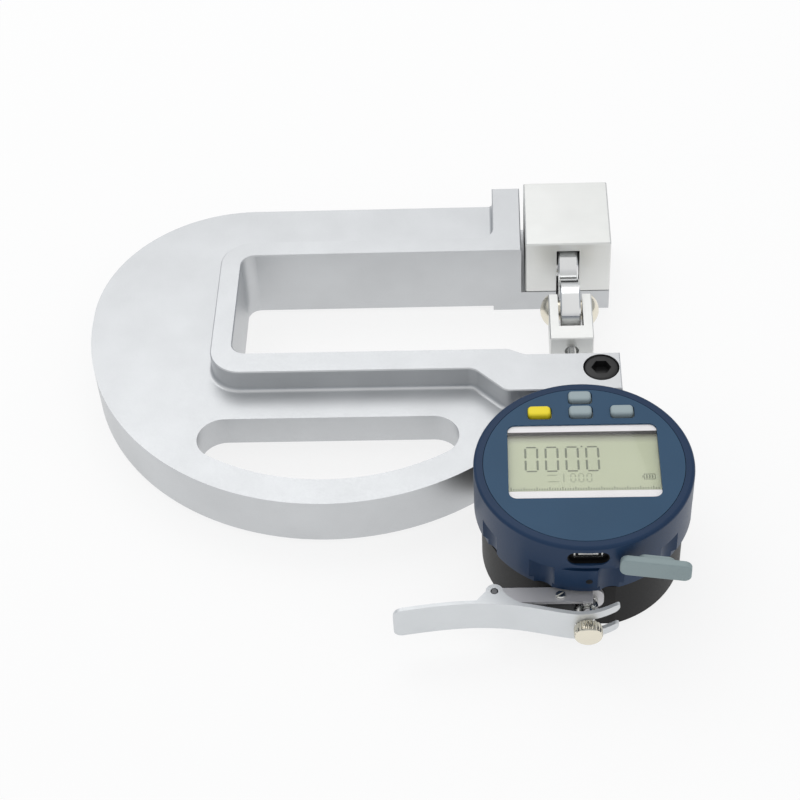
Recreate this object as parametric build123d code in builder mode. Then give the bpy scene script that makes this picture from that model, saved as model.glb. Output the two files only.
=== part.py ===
from build123d import *
import os
from math import asin, cos, degrees, radians, sin, sqrt

# Digital thickness gauge with a deep throat, lying on its back.
# Origin: underside of the anvil shelf, straight below the anvil roller's axle.
# +X runs along the arms out of the throat, +Y from the indicator to the anvil,
# +Z up, out of the display. Millimetres.

os.makedirs("parts", exist_ok=True)

# Clearances
fit = 0.05                    # radial play of a shaft or screw in its hole
slip = 0.1                    # play between flat neighbours that must not bind
roller_gap = 0.2              # gap between the two rollers when the gauge is closed

# Spindle
axis_height = 13.0            # above the underside
travel = 10.0                 # measuring range
spindle_diameter = 4.0

# Ball bearings used as measuring rollers
roller_diameter = 19.0
roller_width = 6.0
roller_bore = 6.0
ball_share = 0.27             # ball diameter over the difference of roller and bore
race_depth = 0.4              # groove that a ball runs in
ball_count = 7
shield_gauge = 0.3
shield_recess = 0.3           # shield set back from the ring's face
ring_break = 0.4              # chamfer on the rings

# Frame
plate_thickness = 25.0
throat_depth = 100.0          # from the spindle axis to the throat's end wall
throat_width = 42.0
throat_radius = 4.0
arm_reach = 13.0              # arms run this far past the spindle axis
roller_proud = 4.5            # anvil roller stands this far out of the throat wall
anvil_arm_width = 29.3
back_width = 44.8             # frame behind the throat's end wall
corner_radius = 46.3          # outline's arc behind the anvil arm
swell_radius = 73.8           # outline's big arc round the hand slot
back_straight = 3.0           # straight stretch between the two arcs
web_drop = 7.6                # web surface below the rim
web_thickness = 10.1
foot_width = 4.5              # rim left standing round the underside
foot_bevel = 1.9              # bevel on the underside's edges
cove_radius = 1.2             # at the foot of the raised rim
rim_break = 0.3               # chamfer on the raised rim
end_band = 6.3                # raised rim beside the throat's end and far wall
near_band = 8.0               # raised rim beside the near wall
rim_radius = 9.5
shoulder_radius = 4.0
pocket_radius = 3.0
pad_width = 8.65              # full-height pad at the end of the anvil arm
grip_width = 9.0              # bar between the hand slot and the outline
slot_setback = 19.3           # hand slot's straight edge from the near throat wall
slot_radius = 7.5             # at the ends of the hand slot

# Stem clamp at the end of the near arm
clamp_width = 14.6
clamp_relief = 2.4            # clamp wall set back from the near throat wall
clamp_left = 19.8             # full-height clamp starts this far before the spindle axis
clamp_slit = 1.2
clamp_screw_offset = 7.4      # from the spindle axis
clamp_screw_setback = 6.0     # from the clamp wall
clamp_head_diameter = 10.0
clamp_head_height = 6.0
clamp_thread_diameter = 6.0
clamp_grip = 16.0             # shank length
clamp_hex = 5.0
hex_depth = 3.0
head_play = 0.2               # round a screw head in its counterbore
stem_diameter = 8.0
stem_setback = 0.4            # stem behind the clamp wall
stem_seat = 4.5               # stem length in the wall of the indicator

# Anvil block
shelf_thickness = 7.4
block_width = 26.1
block_depth = 29.0
block_height = 19.8
block_gap = 1.3               # between the block and the end of the arm
block_roof = 2.9              # metal above the roller slot
block_break = 0.4             # chamfer
roller_side_gap = 0.5         # beside a roller in its slot
roller_end_gap = 1.5          # behind and below the anvil roller
axle_wall = 2.0               # metal past the blind end of the axle
block_screw_diameter = 4.0
block_screw_grip = 6.5        # screw length in the block
block_screw_spread = 8.5      # from the block's middle plane
block_screw_front = 7.5       # front row behind the axle
block_screw_pitch = 12.0
block_head_diameter = 7.0
block_head_height = 4.0

# Clevis on the spindle
clevis_width = 13.0
clevis_height = 10.6
clevis_depth = 19.4
clevis_nose = 1.8             # arms run this far past the axle
clevis_break = 0.3            # chamfer
clevis_side_gap = 0.7         # beside the measuring roller
clevis_end_gap = 2.7          # behind the measuring roller
mouth_diameter = 4.3          # counterbore round the stud
mouth_depth = 2.0
dome_diameter = 9.3
dome_height = 2.4
axle_screw_diameter = 3.5
axle_screw_grip = 8.0
stud_diameter = 2.5
stud_show = 9.3               # stud length between clevis and spindle
stud_grip = 4.6               # stud length in the clevis
stud_root = 6.6               # stud length in the spindle

# Indicator body
indicator_setback = 55.0      # indicator centre from the near throat wall
case_radius = 27.5
case_lift = 0.4               # back of the indicator above the rest plane
case_height = 17.0
case_break = 0.5              # chamfer
deck_thickness = 1.2
cavity_radius = 21.5
cover_radius = 25.0
cover_thickness = 1.6
cover_screw_radius = 23.2
flat_distance = 26.4          # milled flat for the bracket, from the centre
hub_radius = 14.0
hub_bore = 11.0
swivel_radius = 17.0
swivel_gauge = 1.2
swivel_screw_radius = 12.5
swivel_gap = 0.2              # between the swivel ring and the head's floor
small_screw = 1.6             # thread of the small screws
small_head = 2.8
small_head_height = 0.8
small_screw_length = 3.0      # thread length of the small screws in their holes
bush_diameter = 5.0
bush_show = 3.6               # bush in front of the bracket
bush_inset = 1.0              # bush's inner end outside the cavity
collar_diameter = 6.0
collar_length = 3.9
rod_diameter = 2.0
rod_offset = 9.5              # guide rod to spindle axis
rod_drop = 1.5                # guide rod below the spindle axis
rod_seat = 2.0
spring_diameter = 3.7
wire_gauge = 0.5              # spring wound from square wire
spring_turns = 7

# Measuring system inside the indicator body
carriage_length = 8.0
carriage_front = 10.0         # carriage in front of the indicator centre
carriage_left = 4.0
carriage_wall = 1.0           # metal past the guide rod
carriage_top = 2.5            # above the spindle axis
carriage_height = 8.0
strip_gauge = 0.8
strip_width = 7.0
strip_spare = 16.0            # strip length beyond the measuring range
strip_shift = 6.0             # strip's middle in front of the indicator centre
read_gap = 0.3                # between the strip and the reading head
encoder_gauge = 1.5
encoder_edge = 2.0            # board past its screws
pillar_diameter = 4.0
pillar_spread = 14.0
pillar_pitch = 20.0

# Lift mechanism
bracket_gauge = 0.9
bracket_height = 8.0
bracket_reach = 4.8           # flange width from the milled flat
bracket_right = 4.6           # bracket's end past the spindle axis
flange_right = 1.5            # flange's end past the spindle axis
flange_past_pin = 1.4
bracket_past_pin = 2.2
flange_radius = 2.0
pin_offset = 24.3             # lever pin to spindle axis
pin_setback = 2.0             # lever pin in front of the flat
pin_diameter = 2.0
nut_width = 6.7
nut_depth = 3.2
bracket_screw_offset = 7.0
bracket_screw_setback = 2.7
bracket_screw_diameter = 2.0
bracket_head_diameter = 2.8
bracket_head_height = 0.6
lever_height = 10.6
lever_gauge = 1.1
ear_gauge = 1.2
ear_radius = 2.3
ear_left = 5.2                # ear's foot on the strip, left of the pin
ear_right = 10.5              # ear's foot on the strip, right of the pin
ear_waist = (4.8, 2.6)        # middle of the ear's hollow side, from the pin
ear_drop = 5.6                # ear's left foot in front of the flat
ear_slope = 1.2               # right foot further in front
lever_end_radius = 2.5
fork_gap = 5.2
fork_left = 3.6               # fork starts this far before the spindle axis
tine_radius = 1.3
knob_diameter = 7.6
knob_length = 3.4
knob_setback = 10.2           # knob's inner face in front of the flat
knob_thread_diameter = 2.5
knob_thread_length = 2.4
knurl_count = 24
knurl_depth = 0.25

# Display head
head_gap = 0.3                # between the indicator body and the head
head_radius = 29.4
skirt_radius = 28.3
skirt_height = 1.9
skirt_bevel = 0.8
head_height = 18.9
head_round = 1.0              # outer top edge
head_cavity = 26.0
head_floor = 2.0
seam_radius = 26.9
plate_gauge = 1.3
plate_play = 0.15
window_width = 40.2
window_height = 26.0
window_shift = 0.8            # window centre above the dial centre
window_radius = 2.2
lens_gauge = 0.9
lens_recess = 0.2
glass_width = 40.2
glass_height = 20.1
glass_gauge = 1.4
glass_shift = 1.65            # display glass centre above the dial centre
glass_ledge = 1.6             # holder under the edge of the glass
glass_drop = 0.3              # glass below the underside of the face plate
holder_wall = 1.4
board_drop = 4.4              # board's top below the face plate
board_gauge = 1.2
board_radius = 25.2
column_radius = 21.0
column_diameter = 4.0
battery_diameter = 20.0
battery_height = 3.2
clip_gauge = 0.4
clip_width = 6.0
port_width = 11.0
port_height = 5.0
shell_width = 7.5             # socket in the slot
shell_height = 2.7
shell_length = 6.5
shell_wall = 0.4
tongue_width = 5.1            # tongue inside the socket
tongue_gauge = 0.8
shell_recess = 1.9            # socket's mouth inside the outer wall
flute_count = 10
flute_angle = 12.0            # first flute from the front of the head
flute_radius = 4.5
flute_depth = 2.0
flute_height = 9.7
groove_height = 1.3           # finger groove below the port
groove_width = 14.2

# Push buttons
button_width = 6.3
button_height = 4.3
button_radius = 0.9
button_row = 18.1             # lower row above the dial centre
button_rise = 5.4             # upper button above the lower row
button_spread = 11.2
button_proud = 1.0
button_round = 0.5            # rounding of the cap's upper edge
button_travel = 0.4
button_play = 0.15
lug_width = 8.0               # lugs that hold the button under the face plate
lug_height = 2.6
lug_gauge = 0.5
switch_width = 4.0
switch_height = 2.4
switch_plunger = 1.0

# Rubber port cover
cover_length = 18.3
cover_gauge = 2.1
cover_height = 6.0
cover_drop = 1.5              # cover's middle below the middle of the slot
cover_angle = -8.5            # how it hangs open
cover_pivot_offset = 8.3
cover_pivot_gap = 2.1         # pivot outside the wall of the head
cover_pivot_depth = 0.6       # pivot behind the front face
cover_round = 2.0
cover_break = 0.4             # rounding of its edges
tab_start = 4.0
tab_length = 9.7
tab_gauge = 1.2
tab_height = 4.6
cover_overlap = 0.3           # cover's end past the pivot

# Places worked out from the sizes above
roller_radius = roller_diameter / 2
ball_diameter = ball_share * (roller_diameter - roller_bore)
ball_pitch = (roller_diameter + roller_bore) / 4
inner_land_diameter = 2 * (ball_pitch + race_depth) - ball_diameter
outer_land_diameter = 2 * (ball_pitch - race_depth) + ball_diameter
throat_far = roller_proud - roller_radius
throat_near = throat_far - throat_width
arm_back = throat_far + anvil_arm_width
clamp_wall = throat_near - clamp_relief
clamp_near = clamp_wall - clamp_width
frame_left = -throat_depth - back_width
corner_centre = (frame_left + corner_radius, arm_back - corner_radius)
swell_centre = (frame_left + swell_radius, corner_centre[1] - back_straight)
swell_turn = degrees(asin((swell_centre[1] - clamp_near) / swell_radius))
swell_end = swell_centre[0] + swell_radius * cos(radians(swell_turn))
web_top = plate_thickness - web_drop
block_half = block_width / 2
arm_end = -block_half - block_gap
pad_left = arm_end - pad_width
slot_far = throat_near - slot_setback
slot_half = roller_width / 2 + roller_side_gap
moving_axle = -roller_diameter - roller_gap
clevis_far = moving_axle + clevis_nose
clevis_near = clevis_far - clevis_depth
fork_floor = moving_axle - roller_radius - clevis_end_gap
indicator_y = throat_near - indicator_setback
case_top = case_lift + case_height
deck_under = case_top - deck_thickness
cover_top = case_lift + cover_thickness
stem_front = clamp_wall - stem_setback
stem_back = indicator_y + case_radius - stem_seat
flat_y = indicator_y - flat_distance
bracket_front = flat_y - bracket_gauge
knob_face = flat_y - knob_setback
spindle_far = clevis_near - stud_show
pin = (-pin_offset, flat_y - pin_setback)
bracket_screw_place = (-bracket_screw_offset, flat_y - bracket_screw_setback)
head_base = case_top + head_gap
floor_top = head_base + head_floor
head_top = head_base + head_height
plate_base = head_top - plate_gauge
hub_top = floor_top + swivel_gap
board_top = plate_base - board_drop
board_under = board_top - board_gauge
port_z = board_top + shell_height / 2
glass_top = plate_base - glass_drop
block_screw_places = [
    (side * block_screw_spread, row)
    for side in (-1, 1)
    for row in (block_screw_front, block_screw_front + block_screw_pitch)
]
clamp_screw_place = (clamp_screw_offset, clamp_wall - clamp_screw_setback)
axle_left = -block_half + axle_wall
moving_plane = Plane((0, moving_axle, axis_height))
moving_line = Axis((0, moving_axle, axis_height), (1, 0, 0))
barrel_end = clevis_width / 2 - slip
carriage_far = indicator_y + carriage_front
carriage_near = carriage_far - carriage_length
carriage_under = axis_height + carriage_top - carriage_height
encoder_top = carriage_under - strip_gauge - read_gap
encoder_under = encoder_top - encoder_gauge
rod_height = axis_height - rod_drop
rod_reach = sqrt(cavity_radius**2 - rod_offset**2)
spring_end = indicator_y - rod_reach
bracket_under = axis_height - bracket_height / 2
lever_under = axis_height - lever_height / 2
glass_under = glass_top - glass_gauge
lug_top = plate_base - slip
lug_under = lug_top - lug_gauge
button_places = {
    "power_button": (-button_spread, button_row),
    "unit_button": (0, button_row),
    "zero_button": (button_spread, button_row),
    "hold_button": (0, button_row + button_rise),
}
stem_radius = stem_diameter / 2
spindle_radius = spindle_diameter / 2


def facing(y):
    """Plane across the spindle at y: its own X is X, its own Y is Z, and it extrudes to -Y."""
    return Plane.XZ.offset(-y)


def on_dial(z):
    """Level plane at z with its origin in the middle of the indicator."""
    return Plane((0, indicator_y, z))


def across(x):
    """Plane across the roller axles at x: its own X is Y, its own Y is Z, extruding to +X."""
    return Plane.YZ.offset(x)


dial_section = facing(indicator_y)
dial_axis = Axis((0, indicator_y, 0), (0, 0, 1))

# Throat, widened at the clamp so that the clevis can come back
throat_mouth = arm_reach + block_gap
with BuildSketch() as throat:
    with BuildLine():
        Polyline(
            (throat_mouth, throat_far),
            (-throat_depth, throat_far),
            (-throat_depth, throat_near),
            (arm_end - 2 * clamp_relief, throat_near),
            (arm_end, clamp_wall),
            (throat_mouth, clamp_wall),
            close=True,
        )
    make_face()
    fillet(throat.vertices().filter_by(lambda corner: corner.X < arm_end + block_gap), throat_radius)

# Outline of the plate: straight back, corner arc, short straight, big swell arc
with BuildSketch() as outline:
    with BuildLine():
        Line((arm_end, arm_back), (corner_centre[0], arm_back))
        CenterArc(corner_centre, corner_radius, 90, 90)
        Line((frame_left, corner_centre[1]), (frame_left, swell_centre[1]))
        CenterArc(swell_centre, swell_radius, 180, 180 - swell_turn)
        Polyline(
            (swell_end, clamp_near),
            (swell_end, throat_near),
            (arm_end, throat_near),
            (arm_end, arm_back),
        )
    make_face()

# Raised rim with the pad of the anvil arm and the clamp, in one outline
rim_left = -throat_depth - end_band
rim_far = throat_far + end_band
rim_near = throat_near - near_band
shoulder_right = -clamp_left - block_break
with BuildSketch() as raised:
    with BuildLine():
        Polyline(
            (arm_end, arm_back),
            (pad_left, arm_back),
            (pad_left, rim_far),
            (rim_left, rim_far),
            (rim_left, rim_near),
            (shoulder_right - (rim_near - clamp_near), rim_near),
            (shoulder_right, clamp_near),
            (arm_reach, clamp_near),
            (arm_reach, throat_near),
            (arm_end, throat_near),
            close=True,
        )
    make_face()
    fillet(raised.vertices().group_by(Axis.X)[0], rim_radius)
    fillet(
        raised.vertices().filter_by(
            lambda corner: -throat_depth / 2 < corner.X < shoulder_right + slip
            and corner.Y < rim_far + slip
        ),
        shoulder_radius,
    )
    add(throat.sketch, mode=Mode.SUBTRACT)

# Arm ends that go down to the rest plane
with BuildSketch() as arm_ends:
    with Locations((pad_left, throat_far)):
        Rectangle(pad_width, anvil_arm_width, align=Align.MIN)
    with Locations((-clamp_left, clamp_near)):
        Rectangle(clamp_left + arm_reach, throat_near - clamp_near, align=Align.MIN)
    add(throat.sketch, mode=Mode.SUBTRACT)

# Hand slot, concentric with the outline and closed by a straight edge
with BuildSketch() as hand_slot:
    with Locations(swell_centre):
        Circle(swell_radius - grip_width)
    with Locations((swell_centre[0], slot_far)):
        Rectangle(
            2 * swell_radius, 2 * swell_radius, align=(Align.CENTER, Align.MIN), mode=Mode.SUBTRACT
        )
    fillet(hand_slot.vertices(), slot_radius)

# Pocket milled into the underside, between the foot round the outline and the throat's band
with BuildSketch() as pocket:
    add(outline.sketch)
    offset(amount=-foot_width, kind=Kind.INTERSECTION, mode=Mode.REPLACE)
    with Locations((rim_left, throat_near - near_band)):
        Rectangle(throat_depth, end_band + throat_width + near_band, align=Align.MIN,
                  mode=Mode.SUBTRACT)
    with Locations((shoulder_right - (rim_near - clamp_near), clamp_near - foot_width)):
        Rectangle(throat_depth, throat_depth, align=Align.MIN, mode=Mode.SUBTRACT)
    fillet(pocket.vertices(), pocket_radius)

# Frame with throat, raised rim, hand slot, anvil shelf and stem clamp
with BuildPart() as c_frame:
    with BuildSketch() as plate:
        add(outline.sketch)
        add(throat.sketch, mode=Mode.SUBTRACT)
    extrude(amount=web_top)
    chamfer(c_frame.faces().sort_by(Axis.Z)[0].outer_wire().edges(), foot_bevel)
    add(arm_ends.sketch)
    extrude(amount=web_top)
    with BuildSketch(Plane.XY.offset(web_top)):
        add(raised.sketch)
    extrude(amount=web_drop)
    fillet(
        c_frame.edges().filter_by_position(Axis.Z, web_top, web_top).filter_by(
            lambda edge: edge.is_interior
        ),
        cove_radius,
    )
    chamfer(c_frame.faces().sort_by(Axis.Z)[-1].outer_wire().edges(), rim_break)
    with BuildSketch():
        with Locations((arm_end, throat_far)):
            Rectangle(arm_reach - arm_end, anvil_arm_width, align=Align.MIN)
    extrude(amount=shelf_thickness)
    add(hand_slot.sketch)
    extrude(amount=web_top, mode=Mode.SUBTRACT)
    add(pocket.sketch)
    extrude(amount=web_top - web_thickness, mode=Mode.SUBTRACT)
    with Locations(Location((0, 0, axis_height), (0, 90, 0))):
        Cylinder(roller_radius + roller_end_gap, 2 * slot_half, mode=Mode.SUBTRACT)
    with Locations(*[Location((x, y, 0), (180, 0, 0)) for x, y in block_screw_places]):
        CounterBoreHole(
            block_screw_diameter / 2 + fit,
            block_head_diameter / 2 + head_play,
            block_head_height + head_play,
            shelf_thickness,
        )
    with BuildSketch(facing(clamp_wall)):
        with Locations((0, axis_height)):
            Circle(stem_radius + fit)
            Rectangle(2 * arm_reach, clamp_slit, align=(Align.MIN, Align.CENTER))
    extrude(amount=clamp_width, mode=Mode.SUBTRACT)
    with Locations((*clamp_screw_place, plate_thickness)):
        CounterBoreHole(
            clamp_thread_diameter / 2 + fit,
            clamp_head_diameter / 2 + head_play,
            clamp_head_height,
            clamp_head_height + clamp_grip + slip,
        )
c_frame.part.label = "c_frame"
export_step(c_frame.part, "parts/c_frame.step")

# Socket head cap screw that pinches the stem, flush with the arm
with BuildPart() as clamp_screw:
    with BuildSketch(Plane.XY.offset(plate_thickness)):
        with Locations(clamp_screw_place):
            Circle(clamp_head_diameter / 2)
    extrude(amount=-clamp_head_height)
    chamfer(clamp_screw.edges().group_by(Axis.Z)[-1], block_break)
    with BuildSketch(Plane.XY.offset(plate_thickness)):
        with Locations(clamp_screw_place):
            RegularPolygon(clamp_hex / 2, 6, major_radius=False)
    extrude(amount=-hex_depth, mode=Mode.SUBTRACT)
    with BuildSketch(Plane.XY.offset(plate_thickness - clamp_head_height)):
        with Locations(clamp_screw_place):
            Circle(clamp_thread_diameter / 2)
    extrude(amount=-clamp_grip)
clamp_screw.part.label = "clamp_screw"
export_step(clamp_screw.part, "parts/clamp_screw.step")

# Anvil block with its roller slot and the blind hole for the axle
with BuildPart() as anvil_block:
    with BuildSketch(Plane.XY.offset(shelf_thickness)):
        with Locations((0, throat_far)):
            Rectangle(block_width, block_depth, align=(Align.CENTER, Align.MIN))
    extrude(amount=block_height)
    chamfer(anvil_block.edges(), block_break)
    with BuildSketch(Plane.XY.offset(shelf_thickness)):
        with Locations((0, throat_far)):
            Rectangle(
                2 * slot_half,
                roller_radius + roller_end_gap - throat_far,
                align=(Align.CENTER, Align.MIN),
            )
    extrude(amount=block_height - block_roof, mode=Mode.SUBTRACT)
    with BuildSketch(across(axle_left)):
        with Locations((0, axis_height)):
            Circle(roller_bore / 2 + fit)
    extrude(amount=block_width, mode=Mode.SUBTRACT)
    with BuildSketch(Plane.XY.offset(shelf_thickness)):
        with Locations(*block_screw_places):
            Circle(block_screw_diameter / 2 + fit)
    extrude(amount=block_screw_grip + slip, mode=Mode.SUBTRACT)
anvil_block.part.label = "anvil_block"
export_step(anvil_block.part, "parts/anvil_block.step")

# Four cap screws that hold the block from below
with BuildPart() as anvil_block_screws:
    with BuildSketch(Plane.XY.offset(head_play)):
        with Locations(*block_screw_places):
            Circle(block_head_diameter / 2)
            RegularPolygon(block_head_diameter / 4, 6, mode=Mode.SUBTRACT)
    extrude(amount=block_head_height)
    with BuildSketch(Plane.XY.offset(head_play + block_head_height / 2)):
        with Locations(*block_screw_places):
            Circle(block_screw_diameter / 2)
    extrude(amount=shelf_thickness + block_screw_grip - head_play - block_head_height / 2)
anvil_block_screws.part.label = "anvil_block_screws"
export_step(anvil_block_screws.part, "parts/anvil_block_screws.step")

# Pin that carries the anvil roller
with BuildPart() as anvil_axle:
    with BuildSketch(across(axle_left)):
        with Locations((0, axis_height)):
            Circle(roller_bore / 2)
    extrude(amount=block_width - axle_wall - block_break)
    chamfer(anvil_axle.edges(), ring_break)
anvil_axle.part.label = "anvil_axle"
export_step(anvil_axle.part, "parts/anvil_axle.step")

# Shielded ball bearings used as rollers: one on the anvil's axle, one in the clevis
for roller, roller_y in (("anvil", 0), ("roller", moving_axle)):
    ring_plane = Plane((0, roller_y, axis_height))
    ring_axis = Axis((0, roller_y, axis_height), (1, 0, 0))

    with BuildPart() as inner_ring:
        with BuildSketch(ring_plane):
            with Locations((0, roller_bore / 2 + fit)):
                Rectangle(
                    roller_width,
                    (inner_land_diameter - roller_bore) / 2 - fit,
                    align=(Align.CENTER, Align.MIN),
                )
            with Locations((0, ball_pitch)):
                Circle(ball_diameter / 2 + fit, mode=Mode.SUBTRACT)
        revolve(axis=ring_axis)
    inner_ring.part.label = roller + "_inner_ring"
    export_step(inner_ring.part, "parts/" + roller + "_inner_ring.step")

    with BuildPart() as outer_ring:
        with BuildSketch(ring_plane):
            with Locations((0, roller_radius)):
                Rectangle(
                    roller_width,
                    roller_radius - outer_land_diameter / 2,
                    align=(Align.CENTER, Align.MAX),
                )
            chamfer(vertices().group_by(Axis.Y)[-1], ring_break)
            with Locations((0, ball_pitch)):
                Circle(ball_diameter / 2 + fit, mode=Mode.SUBTRACT)
            with Locations((0, outer_land_diameter / 2)):
                with GridLocations(roller_width - 2 * shield_recess - shield_gauge, 1, 2, 1):
                    Rectangle(
                        shield_gauge,
                        (outer_land_diameter - inner_land_diameter) / 2 - slip,
                        align=(Align.CENTER, Align.MAX),
                    )
        revolve(axis=ring_axis)
    outer_ring.part.label = roller + "_outer_ring"
    export_step(outer_ring.part, "parts/" + roller + "_outer_ring.step")

    with BuildPart() as balls:
        with Locations(Location((0, roller_y, axis_height), (0, 90, 0))):
            with PolarLocations(ball_pitch, ball_count):
                Sphere(ball_diameter / 2)
    balls.part.label = roller + "_balls"
    export_step(balls.part, "parts/" + roller + "_balls.step")

# Clevis that holds the measuring roller
with BuildPart() as clevis:
    with BuildSketch(facing(clevis_far)):
        with Locations((0, axis_height)):
            Rectangle(clevis_width, clevis_height)
    extrude(amount=clevis_depth)
    chamfer(clevis.edges(), clevis_break)
    with BuildSketch(facing(clevis_far)):
        with Locations((0, axis_height)):
            Rectangle(roller_width + 2 * clevis_side_gap, 2 * clevis_height)
    extrude(amount=clevis_far - fork_floor, mode=Mode.SUBTRACT)
    with BuildSketch(across(-clevis_width / 2)):
        with Locations((moving_axle, axis_height)):
            Circle(roller_bore / 2 + fit)
    extrude(amount=clevis_width, mode=Mode.SUBTRACT)
    with BuildSketch(facing(fork_floor)):
        with Locations((0, axis_height)):
            Circle(stud_diameter / 2 + fit)
    extrude(amount=fork_floor - clevis_near, mode=Mode.SUBTRACT)
    with BuildSketch(facing(clevis_near + mouth_depth)):
        with Locations((0, axis_height)):
            Circle(mouth_diameter / 2)
    extrude(amount=mouth_depth, mode=Mode.SUBTRACT)
clevis.part.label = "clevis"
export_step(clevis.part, "parts/clevis.step")

# Axle of the measuring roller: a barrel with a domed head on the left
with BuildPart() as roller_axle_barrel:
    with BuildSketch(moving_plane):
        with BuildLine():
            TangentArc(
                (-clevis_width / 2 - dome_height, 0),
                (-clevis_width / 2, dome_diameter / 2),
                tangent=(0, 1),
            )
            Polyline(
                (-clevis_width / 2, dome_diameter / 2),
                (-clevis_width / 2, roller_bore / 2),
                (barrel_end, roller_bore / 2),
                (barrel_end, axle_screw_diameter / 2 + fit),
                (barrel_end - axle_screw_grip, axle_screw_diameter / 2 + fit),
                (barrel_end - axle_screw_grip, 0),
                (-clevis_width / 2 - dome_height, 0),
            )
        make_face()
    revolve(axis=moving_line)
roller_axle_barrel.part.label = "roller_axle_barrel"
export_step(roller_axle_barrel.part, "parts/roller_axle_barrel.step")

# Domed screw that closes the barrel from the right
with BuildPart() as roller_axle_screw:
    with BuildSketch(moving_plane):
        with BuildLine():
            TangentArc(
                (clevis_width / 2 + dome_height, 0),
                (clevis_width / 2, dome_diameter / 2),
                tangent=(0, 1),
            )
            Polyline(
                (clevis_width / 2, dome_diameter / 2),
                (clevis_width / 2, axle_screw_diameter / 2),
                (barrel_end - axle_screw_grip + slip, axle_screw_diameter / 2),
                (barrel_end - axle_screw_grip + slip, 0),
                (clevis_width / 2 + dome_height, 0),
            )
        make_face()
    revolve(axis=moving_line)
roller_axle_screw.part.label = "roller_axle_screw"
export_step(roller_axle_screw.part, "parts/roller_axle_screw.step")

# Threaded stud between clevis and spindle
with BuildPart() as contact_stud:
    with BuildSketch(facing(clevis_near + stud_grip)):
        with Locations((0, axis_height)):
            Circle(stud_diameter / 2)
    extrude(amount=stud_grip + stud_show + stud_root)
contact_stud.part.label = "contact_stud"
export_step(contact_stud.part, "parts/contact_stud.step")

# Spindle with a bore for the stud and a threaded end for the knob
with BuildPart() as spindle:
    with BuildSketch(facing(spindle_far)):
        with Locations((0, axis_height)):
            Circle(spindle_radius)
    extrude(amount=spindle_far - knob_face)
    with BuildSketch(facing(spindle_far)):
        with Locations((0, axis_height)):
            Circle(stud_diameter / 2 + fit)
    extrude(amount=stud_root + slip, mode=Mode.SUBTRACT)
    with BuildSketch(facing(knob_face)):
        with Locations((0, axis_height)):
            Circle(knob_thread_diameter / 2)
    extrude(amount=knob_thread_length)
spindle.part.label = "spindle"
export_step(spindle.part, "parts/spindle.step")

# Knurled knob on the end of the spindle
with BuildPart() as lift_knob:
    with BuildSketch(facing(knob_face)):
        with Locations((0, axis_height)):
            Circle(knob_diameter / 2)
            with PolarLocations(knob_diameter / 2, knurl_count):
                RegularPolygon(knurl_depth, 4, mode=Mode.SUBTRACT)
    extrude(amount=knob_length)
    with BuildSketch(facing(knob_face)):
        with Locations((0, axis_height)):
            Circle(knob_thread_diameter / 2 + fit)
    extrude(amount=knob_thread_length + slip, mode=Mode.SUBTRACT)
lift_knob.part.label = "lift_knob"
export_step(lift_knob.part, "parts/lift_knob.step")

# Carriage on the spindle: the guide rod through it keeps the spindle from turning
with BuildPart() as scale_carriage:
    with BuildSketch(facing(carriage_far)):
        with Locations((-carriage_left, carriage_under)):
            Rectangle(
                carriage_left + rod_offset + rod_diameter / 2 + carriage_wall,
                carriage_height,
                align=Align.MIN,
            )
        with Locations((0, axis_height)):
            Circle(spindle_radius + fit, mode=Mode.SUBTRACT)
        with Locations((rod_offset, rod_height)):
            Circle(rod_diameter / 2 + slip, mode=Mode.SUBTRACT)
    extrude(amount=carriage_length)
scale_carriage.part.label = "scale_carriage"
export_step(scale_carriage.part, "parts/scale_carriage.step")

# Graduated strip under the carriage
with BuildPart() as scale_strip:
    with BuildSketch(on_dial(carriage_under)):
        with Locations((0, strip_shift)):
            Rectangle(strip_width, travel + strip_spare)
    extrude(amount=-strip_gauge)
scale_strip.part.label = "scale_strip"
export_step(scale_strip.part, "parts/scale_strip.step")

# Stem of the indicator, held in the clamp
with BuildPart() as stem:
    with BuildSketch(facing(stem_front)):
        with Locations((0, axis_height)):
            Circle(stem_radius)
            Circle(spindle_radius + fit, mode=Mode.SUBTRACT)
    extrude(amount=stem_front - stem_back)
stem.part.label = "stem"
export_step(stem.part, "parts/stem.step")

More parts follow.
